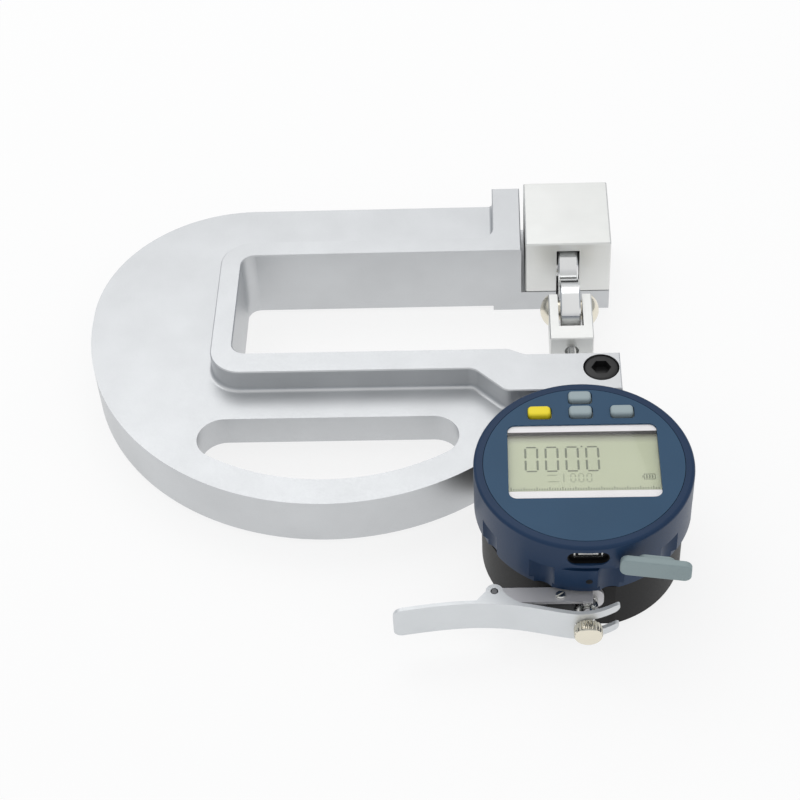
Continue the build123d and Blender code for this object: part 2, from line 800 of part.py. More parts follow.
# Round body of the indicator: open at the back, with a hub on its front for the head
with BuildPart() as indicator_case:
    with BuildSketch(on_dial(case_lift)):
        Circle(case_radius)
        with Locations((0, -flat_distance)):
            Rectangle(
                2 * case_radius, case_radius, align=(Align.CENTER, Align.MAX), mode=Mode.SUBTRACT
            )
    extrude(amount=case_height)
    chamfer(indicator_case.edges().group_by(Axis.Z)[-1], case_break)
    chamfer(indicator_case.edges().group_by(Axis.Z)[0], case_break)
    with BuildSketch(on_dial(case_lift)):
        Circle(cavity_radius)
    extrude(amount=case_height - deck_thickness, mode=Mode.SUBTRACT)
    with BuildSketch(on_dial(case_lift)):
        Circle(cover_radius + slip)
    extrude(amount=cover_thickness, mode=Mode.SUBTRACT)
    with BuildSketch(on_dial(case_top)):
        Circle(hub_radius)
    extrude(amount=hub_top - case_top)
    with BuildSketch(on_dial(hub_top)):
        Circle(hub_bore)
    extrude(amount=deck_under - hub_top, mode=Mode.SUBTRACT)
    with BuildSketch(on_dial(hub_top)):
        with PolarLocations(swivel_screw_radius, 3, start_angle=90):
            Circle(small_screw / 2 + fit)
    extrude(amount=deck_under - hub_top, mode=Mode.SUBTRACT)
    with BuildSketch(on_dial(cover_top)):
        with PolarLocations(cover_screw_radius, 4, start_angle=45):
            Circle(small_screw / 2 + fit)
    extrude(amount=small_screw_length, mode=Mode.SUBTRACT)
    with BuildSketch(on_dial(encoder_top)):
        with GridLocations(2 * pillar_spread, pillar_pitch, 2, 2):
            Circle(pillar_diameter / 2)
            Circle(small_screw / 2 + fit, mode=Mode.SUBTRACT)
    extrude(amount=deck_under - encoder_top)
    with BuildSketch(facing(indicator_y + case_radius)):
        with Locations((0, axis_height)):
            Circle(stem_radius + fit)
    extrude(amount=stem_seat, mode=Mode.SUBTRACT)
    with BuildSketch(facing(indicator_y + case_radius)):
        with Locations((0, axis_height)):
            Circle(spindle_radius + fit)
    extrude(amount=case_radius, mode=Mode.SUBTRACT)
    with BuildSketch(dial_section):
        with Locations((0, axis_height)):
            Circle(bush_diameter / 2 + fit)
    extrude(amount=case_radius, mode=Mode.SUBTRACT)
    with BuildSketch(dial_section):
        with Locations((rod_offset, rod_height)):
            Circle(rod_diameter / 2 + fit)
    extrude(amount=rod_reach + rod_seat, both=True, mode=Mode.SUBTRACT)
indicator_case.part.label = "indicator_case"
export_step(indicator_case.part, "parts/indicator_case.step")

# Cover in the back of the indicator
with BuildPart() as back_cover:
    with BuildSketch(on_dial(case_lift)):
        Circle(cover_radius)
        with PolarLocations(cover_screw_radius, 4, start_angle=45):
            Circle(small_screw / 2 + fit, mode=Mode.SUBTRACT)
    extrude(amount=cover_thickness)
    with BuildSketch(on_dial(case_lift)):
        with PolarLocations(cover_screw_radius, 4, start_angle=45):
            Circle(small_head / 2 + slip)
    extrude(amount=small_head_height, mode=Mode.SUBTRACT)
back_cover.part.label = "back_cover"
export_step(back_cover.part, "parts/back_cover.step")

with BuildPart() as back_cover_screws:
    with BuildSketch(on_dial(case_lift)):
        with PolarLocations(cover_screw_radius, 4, start_angle=45):
            Circle(small_head / 2)
    extrude(amount=small_head_height)
    with BuildSketch(on_dial(case_lift)):
        with PolarLocations(cover_screw_radius, 4, start_angle=45):
            Circle(small_screw / 2)
    extrude(amount=cover_thickness + small_screw_length - slip)
back_cover_screws.part.label = "back_cover_screws"
export_step(back_cover_screws.part, "parts/back_cover_screws.step")

# Guide bush of the spindle on the far side of the indicator, and its knurled collar
with BuildPart() as upper_bush:
    with BuildSketch(facing(indicator_y - cavity_radius - bush_inset)):
        with Locations((0, axis_height)):
            Circle(bush_diameter / 2)
            Circle(spindle_radius + fit, mode=Mode.SUBTRACT)
    extrude(amount=flat_distance + bracket_gauge + bush_show - cavity_radius - bush_inset)
upper_bush.part.label = "upper_bush"
export_step(upper_bush.part, "parts/upper_bush.step")

with BuildPart() as bush_collar:
    with BuildSketch(facing(bracket_front)):
        with Locations((0, axis_height)):
            Circle(collar_diameter / 2)
            Circle(bush_diameter / 2 + fit, mode=Mode.SUBTRACT)
    extrude(amount=collar_length)
bush_collar.part.label = "bush_collar"
export_step(bush_collar.part, "parts/bush_collar.step")

# Rod that guides the carriage, from wall to wall
with BuildPart() as guide_rod:
    with BuildSketch(dial_section):
        with Locations((rod_offset, rod_height)):
            Circle(rod_diameter / 2)
    extrude(amount=rod_reach + rod_seat - slip, both=True)
guide_rod.part.label = "guide_rod"
export_step(guide_rod.part, "parts/guide_rod.step")

# Spring on the guide rod that pushes the carriage towards the anvil
spring_length = carriage_near - spring_end - wire_gauge - 2 * slip
with BuildPart() as return_spring:
    with BuildLine() as coil:
        Helix(
            spring_length / spring_turns,
            spring_length,
            (spring_diameter - wire_gauge) / 2,
            center=(rod_offset, carriage_near - wire_gauge / 2 - slip, rod_height),
            direction=(0, -1, 0),
        )
    with BuildSketch(Plane(coil.line @ 0, z_dir=coil.line % 0)):
        Rectangle(wire_gauge, wire_gauge)
    sweep(path=coil.line, is_frenet=True)
return_spring.part.label = "return_spring"
export_step(return_spring.part, "parts/return_spring.step")

# Reading head: a circuit board on the four pillars, just under the strip
with BuildPart() as encoder_board:
    with BuildSketch(on_dial(encoder_under)):
        Rectangle(2 * (pillar_spread + encoder_edge), pillar_pitch + 2 * encoder_edge)
        with GridLocations(2 * pillar_spread, pillar_pitch, 2, 2):
            Circle(small_screw / 2 + fit, mode=Mode.SUBTRACT)
    extrude(amount=encoder_gauge)
encoder_board.part.label = "encoder_board"
export_step(encoder_board.part, "parts/encoder_board.step")

with BuildPart() as encoder_screws:
    with BuildSketch(on_dial(encoder_under)):
        with GridLocations(2 * pillar_spread, pillar_pitch, 2, 2):
            Circle(small_head / 2)
    extrude(amount=-small_head_height)
    with BuildSketch(on_dial(encoder_under)):
        with GridLocations(2 * pillar_spread, pillar_pitch, 2, 2):
            Circle(small_screw / 2)
    extrude(amount=encoder_gauge + small_screw_length)
encoder_screws.part.label = "encoder_screws"
export_step(encoder_screws.part, "parts/encoder_screws.step")

# Ring that keeps the head on the hub and lets it turn
with BuildPart() as swivel_ring:
    with BuildSketch(on_dial(hub_top)):
        Circle(swivel_radius)
        Circle(hub_bore, mode=Mode.SUBTRACT)
        with PolarLocations(swivel_screw_radius, 3, start_angle=90):
            Circle(small_screw / 2 + fit, mode=Mode.SUBTRACT)
    extrude(amount=swivel_gauge)
swivel_ring.part.label = "swivel_ring"
export_step(swivel_ring.part, "parts/swivel_ring.step")

with BuildPart() as swivel_ring_screws:
    with BuildSketch(on_dial(hub_top + swivel_gauge)):
        with PolarLocations(swivel_screw_radius, 3, start_angle=90):
            Circle(small_head / 2)
    extrude(amount=small_head_height)
    with BuildSketch(on_dial(hub_top + swivel_gauge)):
        with PolarLocations(swivel_screw_radius, 3, start_angle=90):
            Circle(small_screw / 2)
    extrude(amount=-swivel_gauge - small_screw_length + slip)
swivel_ring_screws.part.label = "swivel_ring_screws"
export_step(swivel_ring_screws.part, "parts/swivel_ring_screws.step")

# U-shaped bracket on the milled flat, clamped by the collar of the bush
with BuildPart() as lever_bracket:
    with BuildSketch(facing(flat_y)):
        with Locations((-pin_offset - bracket_past_pin, bracket_under)):
            Rectangle(
                pin_offset + bracket_past_pin + bracket_right, bracket_height, align=Align.MIN
            )
        fillet(vertices().group_by(Axis.X)[-1], bracket_height / 2 - bracket_gauge)
        with Locations((0, axis_height)):
            Circle(bush_diameter / 2 + fit, mode=Mode.SUBTRACT)
    extrude(amount=bracket_gauge)
    with BuildSketch(
        Plane.XY.offset(bracket_under),
        Plane.XY.offset(bracket_under + bracket_height - bracket_gauge),
    ):
        with Locations((-pin_offset - flange_past_pin, flat_y)):
            Rectangle(
                pin_offset + flange_past_pin + flange_right,
                bracket_reach,
                align=(Align.MIN, Align.MAX),
            )
        fillet(vertices().group_by(Axis.Y)[0].group_by(Axis.X)[0], flange_radius)
        with Locations(pin):
            Circle(pin_diameter / 2 + fit, mode=Mode.SUBTRACT)
    extrude(amount=bracket_gauge)
    with BuildSketch(Plane.XY.offset(bracket_under + bracket_height)):
        with Locations(bracket_screw_place):
            Circle(bracket_screw_diameter / 2 + fit)
    extrude(amount=-bracket_gauge, mode=Mode.SUBTRACT)
lever_bracket.part.label = "lever_bracket"
export_step(lever_bracket.part, "parts/lever_bracket.step")

# Spacer block between the flanges, with the thread for the bracket screw
with BuildPart() as bracket_nut:
    with BuildSketch(Plane.XY.offset(bracket_under + bracket_gauge)):
        with Locations((-bracket_screw_offset, bracket_front)):
            Rectangle(nut_width, nut_depth, align=(Align.CENTER, Align.MAX))
        with Locations(bracket_screw_place):
            Circle(bracket_screw_diameter / 2 + fit, mode=Mode.SUBTRACT)
    extrude(amount=bracket_height - 2 * bracket_gauge)
bracket_nut.part.label = "bracket_nut"
export_step(bracket_nut.part, "parts/bracket_nut.step")

with BuildPart() as bracket_screw:
    with BuildSketch(Plane.XY.offset(bracket_under + bracket_height)):
        with Locations(bracket_screw_place):
            Circle(bracket_head_diameter / 2)
    extrude(amount=bracket_head_height)
    with BuildSketch(Plane.XY.offset(bracket_under + bracket_height)):
        with Locations(bracket_screw_place):
            Circle(bracket_screw_diameter / 2)
    extrude(amount=-bracket_height + 2 * bracket_gauge)
bracket_screw.part.label = "bracket_screw"
export_step(bracket_screw.part, "parts/bracket_screw.step")

# Pin that the lift lever turns on
with BuildPart() as lever_pin:
    with BuildSketch(Plane.XY.offset(lever_under)):
        with Locations(pin):
            Circle(pin_diameter / 2)
    extrude(amount=lever_height)
lever_pin.part.label = "lever_pin"
export_step(lever_pin.part, "parts/lever_pin.step")

# Lift lever: a bent strip with two ears on the pin and a fork behind the knob.
# Each point of its front face is a distance from the spindle axis and from the flat.
lever_line = [
    (-51.0, 8.6),
    (-40.0, 6.9),
    (-27.0, 6.1),
    (-17.0, 7.1),
    (-6.5, 9.4),
    (-1.0, 10.0),
    (4.0, 8.8),
    (8.4, 6.6),
]
front_face = [(x, flat_y - distance) for x, distance in lever_line]
back_face = [(x, y + lever_gauge) for x, y in front_face]
ear_foot_left = (pin[0] - ear_left, flat_y - ear_drop)
ear_foot_right = (pin[0] + ear_right, flat_y - ear_drop - ear_slope)
with BuildSketch() as ear:
    with BuildLine():
        Line(ear_foot_left, (pin[0] - ear_radius, pin[1]))
        ThreePointArc(
            (pin[0] - ear_radius, pin[1]),
            (pin[0], pin[1] + ear_radius),
            (pin[0] + ear_radius, pin[1]),
        )
        ThreePointArc(
            (pin[0] + ear_radius, pin[1]),
            (pin[0] + ear_waist[0], pin[1] - ear_waist[1]),
            ear_foot_right,
        )
        Line(ear_foot_right, ear_foot_left)
    make_face()
    with Locations(pin):
        Circle(pin_diameter / 2 + fit, mode=Mode.SUBTRACT)
with BuildPart() as lift_lever:
    with BuildSketch(Plane.XY.offset(lever_under)):
        with BuildLine():
            Spline(*front_face)
            Line(front_face[-1], back_face[-1])
            Spline(*back_face)
            Line(back_face[0], front_face[0])
        make_face()
    extrude(amount=lever_height)
    for level in (lever_under, lever_under + lever_height - ear_gauge):
        with BuildSketch(Plane.XY.offset(level)):
            add(ear.sketch)
        extrude(amount=ear_gauge)
    with BuildSketch(facing(flat_y)):
        with Locations((fork_gap / 2 - fork_left, axis_height)):
            Circle(fork_gap / 2)
            Rectangle(pin_offset, fork_gap, align=(Align.MIN, Align.CENTER))
    extrude(amount=2 * knob_setback, mode=Mode.SUBTRACT)
    fillet(lift_lever.edges().filter_by(Axis.Y).group_by(Axis.X)[-1], tine_radius)
    fillet(lift_lever.edges().filter_by(Axis.Y).group_by(Axis.X)[0], lever_end_radius)
lift_lever.part.label = "lift_lever"
export_step(lift_lever.part, "parts/lift_lever.step")

# Housing of the display: flared skirt with grip flutes, slot for the port, seam for the face plate
flute_start = flute_angle - 90
with BuildPart() as display_case:
    with BuildSketch(dial_section):
        with BuildLine():
            Polyline(
                (hub_radius + slip, head_base),
                (skirt_radius, head_base),
                (skirt_radius, head_base + skirt_height),
                (head_radius, head_base + skirt_height + skirt_bevel),
                (head_radius, head_top),
                (seam_radius, head_top),
                (seam_radius, plate_base),
                (head_cavity, plate_base),
                (head_cavity, floor_top),
                (hub_radius + slip, floor_top),
                close=True,
            )
        make_face()
        fillet(vertices().group_by(Axis.Y)[-1].group_by(Axis.X)[-1], head_round)
    revolve(axis=dial_axis)
    with BuildSketch(on_dial(head_base)):
        with PolarLocations(head_radius - flute_depth + flute_radius, flute_count, flute_start):
            Circle(flute_radius)
    extrude(amount=flute_height, mode=Mode.SUBTRACT)
    with BuildSketch(facing(indicator_y - sqrt(head_radius**2 - groove_width**2 / 4))):
        with Locations((0, head_base + flute_height)):
            Rectangle(2 * groove_width, groove_height, align=(Align.CENTER, Align.MIN))
    extrude(amount=head_radius, mode=Mode.SUBTRACT)
    with BuildSketch(dial_section):
        with Locations((0, port_z)):
            SlotOverall(port_width, port_height)
    extrude(amount=head_radius, mode=Mode.SUBTRACT)
    with BuildSketch(on_dial(floor_top)):
        with PolarLocations(column_radius, 4, start_angle=45):
            Circle(column_diameter / 2)
    extrude(amount=board_under - floor_top)
    with BuildSketch(on_dial(board_under)):
        with PolarLocations(column_radius, 4, start_angle=45):
            Circle(small_screw / 2 + fit)
    extrude(amount=-small_screw_length, mode=Mode.SUBTRACT)
display_case.part.label = "display_case"
export_step(display_case.part, "parts/display_case.step")

# Face plate with the window and the four button holes
with BuildPart() as face_plate:
    with BuildSketch(on_dial(plate_base)):
        Circle(seam_radius - plate_play)
        with Locations((0, window_shift)):
            RectangleRounded(window_width, window_height, window_radius, mode=Mode.SUBTRACT)
        with Locations(*button_places.values()):
            RectangleRounded(
                button_width + 2 * button_play,
                button_height + 2 * button_play,
                button_radius + button_play,
                mode=Mode.SUBTRACT,
            )
    extrude(amount=plate_gauge)
face_plate.part.label = "face_plate"
export_step(face_plate.part, "parts/face_plate.step")

# Clear window in the face plate
with BuildPart() as window_lens:
    with BuildSketch(on_dial(head_top - lens_recess)):
        with Locations((0, window_shift)):
            RectangleRounded(
                window_width - 2 * fit, window_height - 2 * fit, window_radius - fit
            )
    extrude(amount=-lens_gauge)
window_lens.part.label = "window_lens"
export_step(window_lens.part, "parts/window_lens.step")

# Circuit board on the four columns
with BuildPart() as display_board:
    with BuildSketch(on_dial(board_under)):
        Circle(board_radius)
        with PolarLocations(column_radius, 4, start_angle=45):
            Circle(small_screw / 2 + fit, mode=Mode.SUBTRACT)
    extrude(amount=board_gauge)
display_board.part.label = "display_board"
export_step(display_board.part, "parts/display_board.step")

with BuildPart() as board_screws:
    with BuildSketch(on_dial(board_top)):
        with PolarLocations(column_radius, 4, start_angle=45):
            Circle(small_head / 2)
    extrude(amount=small_head_height)
    with BuildSketch(on_dial(board_top)):
        with PolarLocations(column_radius, 4, start_angle=45):
            Circle(small_screw / 2)
    extrude(amount=-board_gauge - small_screw_length + slip)
board_screws.part.label = "board_screws"
export_step(board_screws.part, "parts/board_screws.step")

# Frame on the board that carries the display glass
with BuildPart() as lcd_holder:
    with BuildSketch(on_dial(board_top)):
        with Locations((0, glass_shift)):
            Rectangle(glass_width + 2 * holder_wall, glass_height + 2 * holder_wall)
            Rectangle(
                glass_width - 2 * glass_ledge, glass_height - 2 * glass_ledge, mode=Mode.SUBTRACT
            )
    extrude(amount=glass_top - board_top)
    with BuildSketch(on_dial(glass_top)):
        with Locations((0, glass_shift)):
            Rectangle(glass_width + 2 * fit, glass_height + 2 * fit)
    extrude(amount=-glass_gauge, mode=Mode.SUBTRACT)
lcd_holder.part.label = "lcd_holder"
export_step(lcd_holder.part, "parts/lcd_holder.step")

with BuildPart() as lcd_panel:
    with BuildSketch(on_dial(glass_under)):
        with Locations((0, glass_shift)):
            Rectangle(glass_width, glass_height)
    extrude(amount=glass_gauge)
lcd_panel.part.label = "lcd_panel"
export_step(lcd_panel.part, "parts/lcd_panel.step")

# Coin cell under the board, in its sheet metal clip
with BuildPart() as battery:
    with BuildSketch(on_dial(board_under)):
        Circle(battery_diameter / 2)
    extrude(amount=-battery_height)
    chamfer(battery.edges().group_by(Axis.Z)[0], ring_break)
battery.part.label = "battery"
export_step(battery.part, "parts/battery.step")

clip_span = battery_diameter + 2 * fit
with BuildPart() as battery_clip:
    with BuildSketch(on_dial(board_under)):
        Rectangle(clip_span + 2 * clip_gauge, clip_width)
    extrude(amount=-battery_height - clip_gauge)
    with BuildSketch(on_dial(board_under)):
        Rectangle(clip_span, clip_width)
    extrude(amount=-battery_height, mode=Mode.SUBTRACT)
battery_clip.part.label = "battery_clip"
export_step(battery_clip.part, "parts/battery_clip.step")

# Socket of the data port: an open metal shell with a tongue
shell_mouth = indicator_y - head_radius + shell_recess
with BuildPart() as data_port:
    with BuildSketch(facing(shell_mouth)):
        with Locations((0, port_z)):
            Rectangle(shell_width, shell_height)
    extrude(amount=-shell_length)
    with BuildSketch(facing(shell_mouth)):
        with Locations((0, port_z)):
            Rectangle(shell_width - 2 * shell_wall, shell_height - 2 * shell_wall)
            Rectangle(tongue_width, tongue_gauge, mode=Mode.SUBTRACT)
    extrude(amount=shell_wall - shell_length, mode=Mode.SUBTRACT)
data_port.part.label = "data_port"
export_step(data_port.part, "parts/data_port.step")

# Switches under the buttons
plunger_height = lug_under - button_travel - fit - board_top - switch_height
with BuildPart() as tact_switches:
    with BuildSketch(on_dial(board_top)):
        with Locations(*button_places.values()):
            Rectangle(switch_width, lug_height)
    extrude(amount=switch_height)
    with BuildSketch(on_dial(board_top + switch_height)):
        with Locations(*button_places.values()):
            Circle(switch_plunger)
    extrude(amount=plunger_height)
tact_switches.part.label = "tact_switches"
export_step(tact_switches.part, "parts/tact_switches.step")

# Push buttons: a cap in the face plate and two lugs under it
for name, place in button_places.items():
    with BuildPart() as button:
        with BuildSketch(on_dial(lug_top)):
            with Locations(place):
                RectangleRounded(button_width, button_height, button_radius)
        extrude(amount=head_top + button_proud - lug_top)
        fillet(button.edges().group_by(Axis.Z)[-1], button_round)
        with BuildSketch(on_dial(lug_under)):
            with Locations(place):
                Rectangle(lug_width, lug_height)
        extrude(amount=lug_gauge)
    button.part.label = name
    export_step(button.part, "parts/" + name + ".step")

# Rubber cover of the port, swung open on the right of the slot
cover_pivot = (
    cover_pivot_offset,
    indicator_y - sqrt((head_radius + cover_pivot_gap) ** 2 - cover_pivot_offset**2),
)
cover_middle = port_z - cover_drop
cover_run = Vector(cos(radians(cover_angle)), sin(radians(cover_angle)), 0)
cover_out = Vector(sin(radians(cover_angle)), -cos(radians(cover_angle)), 0)
cover_origin = Vector(cover_pivot[0], cover_pivot[1], cover_middle) + cover_out * cover_pivot_depth
with BuildPart() as port_cover:
    with BuildSketch(Plane(cover_origin, x_dir=cover_run, z_dir=cover_out)):
        with Locations((cover_length / 2 - cover_overlap, 0)):
            RectangleRounded(cover_length, cover_height, cover_round)
    extrude(amount=-cover_gauge)
    fillet(port_cover.edges(), cover_break)
    with BuildSketch(Plane(cover_origin, x_dir=cover_run, z_dir=cover_out)):
        with Locations((tab_start, 0)):
            RectangleRounded(tab_length, tab_height, cover_round, align=(Align.MIN, Align.CENTER))
    extrude(amount=-cover_gauge - tab_gauge)
port_cover.part.label = "port_cover"
export_step(port_cover.part, "parts/port_cover.step")
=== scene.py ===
"""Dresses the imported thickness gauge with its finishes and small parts, and sets up its stage."""

import math

import bmesh
import bpy
from bpy.props import FloatProperty, FloatVectorProperty, IntProperty, PointerProperty
from mathutils import Matrix, Vector


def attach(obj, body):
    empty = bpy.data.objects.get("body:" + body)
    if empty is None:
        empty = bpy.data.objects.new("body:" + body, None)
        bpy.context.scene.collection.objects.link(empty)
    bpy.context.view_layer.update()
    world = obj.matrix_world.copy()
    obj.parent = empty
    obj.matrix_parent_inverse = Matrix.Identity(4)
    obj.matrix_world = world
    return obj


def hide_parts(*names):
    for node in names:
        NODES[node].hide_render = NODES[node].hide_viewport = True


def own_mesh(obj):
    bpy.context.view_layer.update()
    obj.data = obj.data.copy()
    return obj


bl_info = {
    "name": "Digital thickness gauge",
    "version": (1, 0, 0),
    "blender": (4, 5, 0),
    "location": "3D View > Sidebar > Gauge",
    "description": "Dresses the packed thickness gauge and sets up its stage",
    "category": "Object",
}

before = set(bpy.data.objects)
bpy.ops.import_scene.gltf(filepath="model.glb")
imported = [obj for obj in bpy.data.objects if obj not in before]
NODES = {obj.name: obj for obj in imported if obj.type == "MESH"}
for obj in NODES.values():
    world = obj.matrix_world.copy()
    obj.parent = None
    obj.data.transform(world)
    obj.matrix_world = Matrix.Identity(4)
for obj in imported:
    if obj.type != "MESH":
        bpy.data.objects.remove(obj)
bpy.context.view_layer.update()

MM = 0.001
WELD = 1e-6  # vertices nearer than this are one, in metres
NEAR = (0, -1, 0)  # from the anvil towards the lever, along the spindle
KNURL_STEPS = 4  # columns of faces from one rib of a knurl to the next

# Lines and levels of the solids, in mm.
SPINDLE_LEVEL = 13.0  # height of the spindle's line
HEAD_MIDDLE = -102.0  # middle of the round body and its display head, on Y
GLASS_TOP = 35.0  # top of the display glass
GLASS_CLEAR = 35.02  # lowest level of what stands over the glass

CLOUD_SIZE = 14.0  # width of the slow changes of tone, in mm
NOISE_SPAN = {"From Min": 0.3, "From Max": 0.7}  # holds nearly all of a noise's values
GLOSS_SPREAD = 0.1  # share by which the grain changes the roughness
MATT = {"Specular IOR Level": 0.2}  # grained and printed plastic mirrors less


def linear(hex_colour):
    """Linear RGB of an sRGB hex colour."""
    values = [int(hex_colour[i : i + 2], 16) / 255 for i in (1, 3, 5)]
    return [v / 12.92 if v <= 0.04045 else ((v + 0.055) / 1.055) ** 2.4 for v in values]


def colour_property(name, description, default):
    """A colour that the user can change, from its sRGB hex value."""
    return FloatVectorProperty(
        name=name,
        description=description,
        subtype="COLOR",
        min=0.0,
        max=1.0,
        default=linear(default),
    )


def length_property(name, description, millimetres):
    """A length that the user can change, kept in metres."""
    return FloatProperty(
        name=name, description=description, unit="LENGTH", min=0.0, default=millimetres * MM
    )


class GaugeColours(bpy.types.PropertyGroup):
    """Colours of the gauge's finishes"""

    frame_silver: colour_property("Frame", "Blasted and anodised aluminium", "#CBCDCF")
    block_satin: colour_property("Block", "Milled and satin chromed steel", "#E2E3E1")
    bearing_steel: colour_property("Rollers", "Ground bearing steel", "#E9EAEA")
    warm_nickel: colour_property("Axle and knob", "Bright nickel plating", "#E6E0D0")
    cool_nickel: colour_property("Small parts", "Bright nickel plating", "#CFCFCC")
    lever_satin: colour_property("Lever", "Satin chromed strip", "#DFE2E4")
    bracket_satin: colour_property("Bracket", "Satin plated sheet", "#D9D8DA")
    black_oxide: colour_property("Clamp screw", "Blackened steel", "#272728")
    black_body: colour_property("Indicator body", "Black moulded plastic", "#0D0D0E")
    blue_housing: colour_property("Housing", "Slate blue moulded plastic", "#1A3453")
    face_blue: colour_property("Face plate", "Grey blue printed plate", "#31506C")
    display_green: colour_property("Display", "Reflective display glass", "#BEC5A6")
    display_shade: colour_property("Display edge", "Shade at the display's far edge", "#6E6A69")
    segment_dark: colour_property("Digits", "Dark segments of the display", "#6E755F")
    segment_faint: colour_property("Small digits", "Faint segments of the display", "#959D80")
    button_yellow: colour_property("Power button", "Yellow silicone", "#FAE42C")
    button_grey: colour_property("Other buttons", "Grey silicone", "#9FAEB2")
    cover_grey: colour_property("Port cover", "Grey rubber", "#8F9FA1")
    holder_white: colour_property("Window bars", "White moulded plastic", "#F3F1F2")
    # Painted shade: grey of the dark strip under the far window bar, standing in for the shade on
    # the bar's wall.
    painted_shade_grey: colour_property("Window shade strip", "Painted shade under the far bar", "#636162")
    board_green: colour_property("Circuit boards", "Green solder mask", "#1F3D2A")
    pin_grey: colour_property("Lever pin", "Plain turned steel", "#77787A")


class GaugeSizes(bpy.types.PropertyGroup):
    """Sizes of the pieces that the script makes"""

    cap_width: length_property("Button width", "Width of a button's cap", 6.2)
    cap_depth: length_property("Button depth", "Depth of a button's cap, front to back", 3.5)
    cap_rim: length_property("Button rim", "Radius of the rim of a button's cap", 0.75)
    knob_ribs: IntProperty(name="Knob ribs", description="Ribs round the knob", default=22)
    collar_ribs: IntProperty(name="Collar ribs", description="Ribs round the collar", default=22)
    knurl_depth: length_property("Knurl depth", "Depth of the ribs round the knob", 0.38)
    thread_pitch: length_property("Thread pitch", "Pitch of the contact's stud", 0.45)
    thread_depth: length_property("Thread depth", "Depth of the stud's thread", 0.26)
    spring_coils: IntProperty(name="Coils", description="Coils of the return spring", default=7)
    digit_width: length_property("Digit width", "Width of a main digit", 3.75)
    digit_height: length_property("Digit height", "Height of a main digit", 9.1)
    digit_pitch: length_property("Digit pitch", "From one main digit to the next", 5.43)
    digit_stroke: length_property("Digit stroke", "Width of a main digit's segments", 0.58)
    segment_height: length_property("Segment height", "Height of a segment on the glass", 0.03)


class StageSettings(bpy.types.PropertyGroup):
    """Floor, light and camera"""

    floor_radius: FloatProperty(
        name="Floor", description="Radius of the floor", unit="LENGTH", default=40.0
    )
    floor_white: FloatProperty(
        name="Floor white", description="Share of the floor seen as plain white", default=0.8
    )
    walls_low: FloatVectorProperty(
        name="Low walls",
        description="Studio walls at floor level, linear",
        subtype="COLOR",
        default=(0.30, 0.33, 0.37),
    )
    walls_high: FloatVectorProperty(
        name="High walls",
        description="Studio walls above the gauge, linear",
        subtype="COLOR",
        default=(0.84, 0.84, 0.84),
    )
    lamp_power: FloatProperty(
        name="Softbox", description="Power of the softbox", unit="POWER", default=1.95
    )
    lens: FloatProperty(
        name="Lens", description="Focal length of the camera", unit="CAMERA", default=85.387
    )


def add_node(tree, kind, values=None, links=None):
    """Adds a node, sets its sockets or settings, and links its inputs."""
    node = tree.nodes.new(kind)
    for name, value in (values or {}).items():
        if isinstance(name, int) or name in node.inputs:
            node.inputs[name].default_value = value
        else:
            setattr(node, name, value)
    for name, source in (links or {}).items():
        tree.links.new(source, node.inputs[name])
    return node


def empty_material(name):
    """New material with an empty node tree."""
    material = bpy.data.materials.new(name)
    material.use_nodes = True
    material.node_tree.nodes.clear()
    return material


def finish(
    name, colour, metallic, roughness, grain, depth, stretch=(1, 1, 1), cloud=0.03, **shader
):
    """Material with a fine grain in its surface and slow changes of tone and gloss.

    grain is the grain's width and depth its height, in millimetres; stretch makes it
    longer along an axis, as brushing or grinding does; cloud is the change of tone.
    """
    material = empty_material(name)
    tree = material.node_tree
    spot = add_node(tree, "ShaderNodeTexCoord")
    drawn_out = add_node(
        tree,
        "ShaderNodeMapping",
        {"Scale": [1 / part for part in stretch]},
        {"Vector": spot.outputs["Object"]},
    )
    fine = add_node(
        tree,
        "ShaderNodeTexNoise",
        {"Scale": 1 / (grain * MM), "Detail": 3.0, "Roughness": 0.6},
        {"Vector": drawn_out.outputs["Vector"]},
    )
    broad = add_node(
        tree,
        "ShaderNodeTexNoise",
        {"Scale": 1 / (CLOUD_SIZE * MM), "Detail": 2.0},
        {"Vector": spot.outputs["Object"]},
    )
    tone = add_node(
        tree,
        "ShaderNodeMapRange",
        {**NOISE_SPAN, "To Min": 1 - cloud, "To Max": 1 + cloud},
        {"Value": broad.outputs["Fac"]},
    )
    shaded = add_node(
        tree,
        "ShaderNodeVectorMath",
        {"operation": "SCALE", 0: colour[:3]},
        {"Scale": tone.outputs["Result"]},
    )
    gloss = add_node(
        tree,
        "ShaderNodeMapRange",
        {
            **NOISE_SPAN,
            "To Min": roughness * (1 - GLOSS_SPREAD),
            "To Max": roughness * (1 + GLOSS_SPREAD),
        },
        {"Value": fine.outputs["Fac"]},
    )
    bump = add_node(
        tree,
        "ShaderNodeBump",
        {"Strength": 1.0, "Distance": depth * MM},
        {"Height": fine.outputs["Fac"]},
    )
    surface = add_node(
        tree,
        "ShaderNodeBsdfPrincipled",
        {"Metallic": metallic, **shader},
        {
            "Base Color": shaded.outputs["Vector"],
            "Roughness": gloss.outputs["Result"],
            "Normal": bump.outputs["Normal"],
        },
    )
    add_node(tree, "ShaderNodeOutputMaterial", links={"Surface": surface.outputs["BSDF"]})
    return material


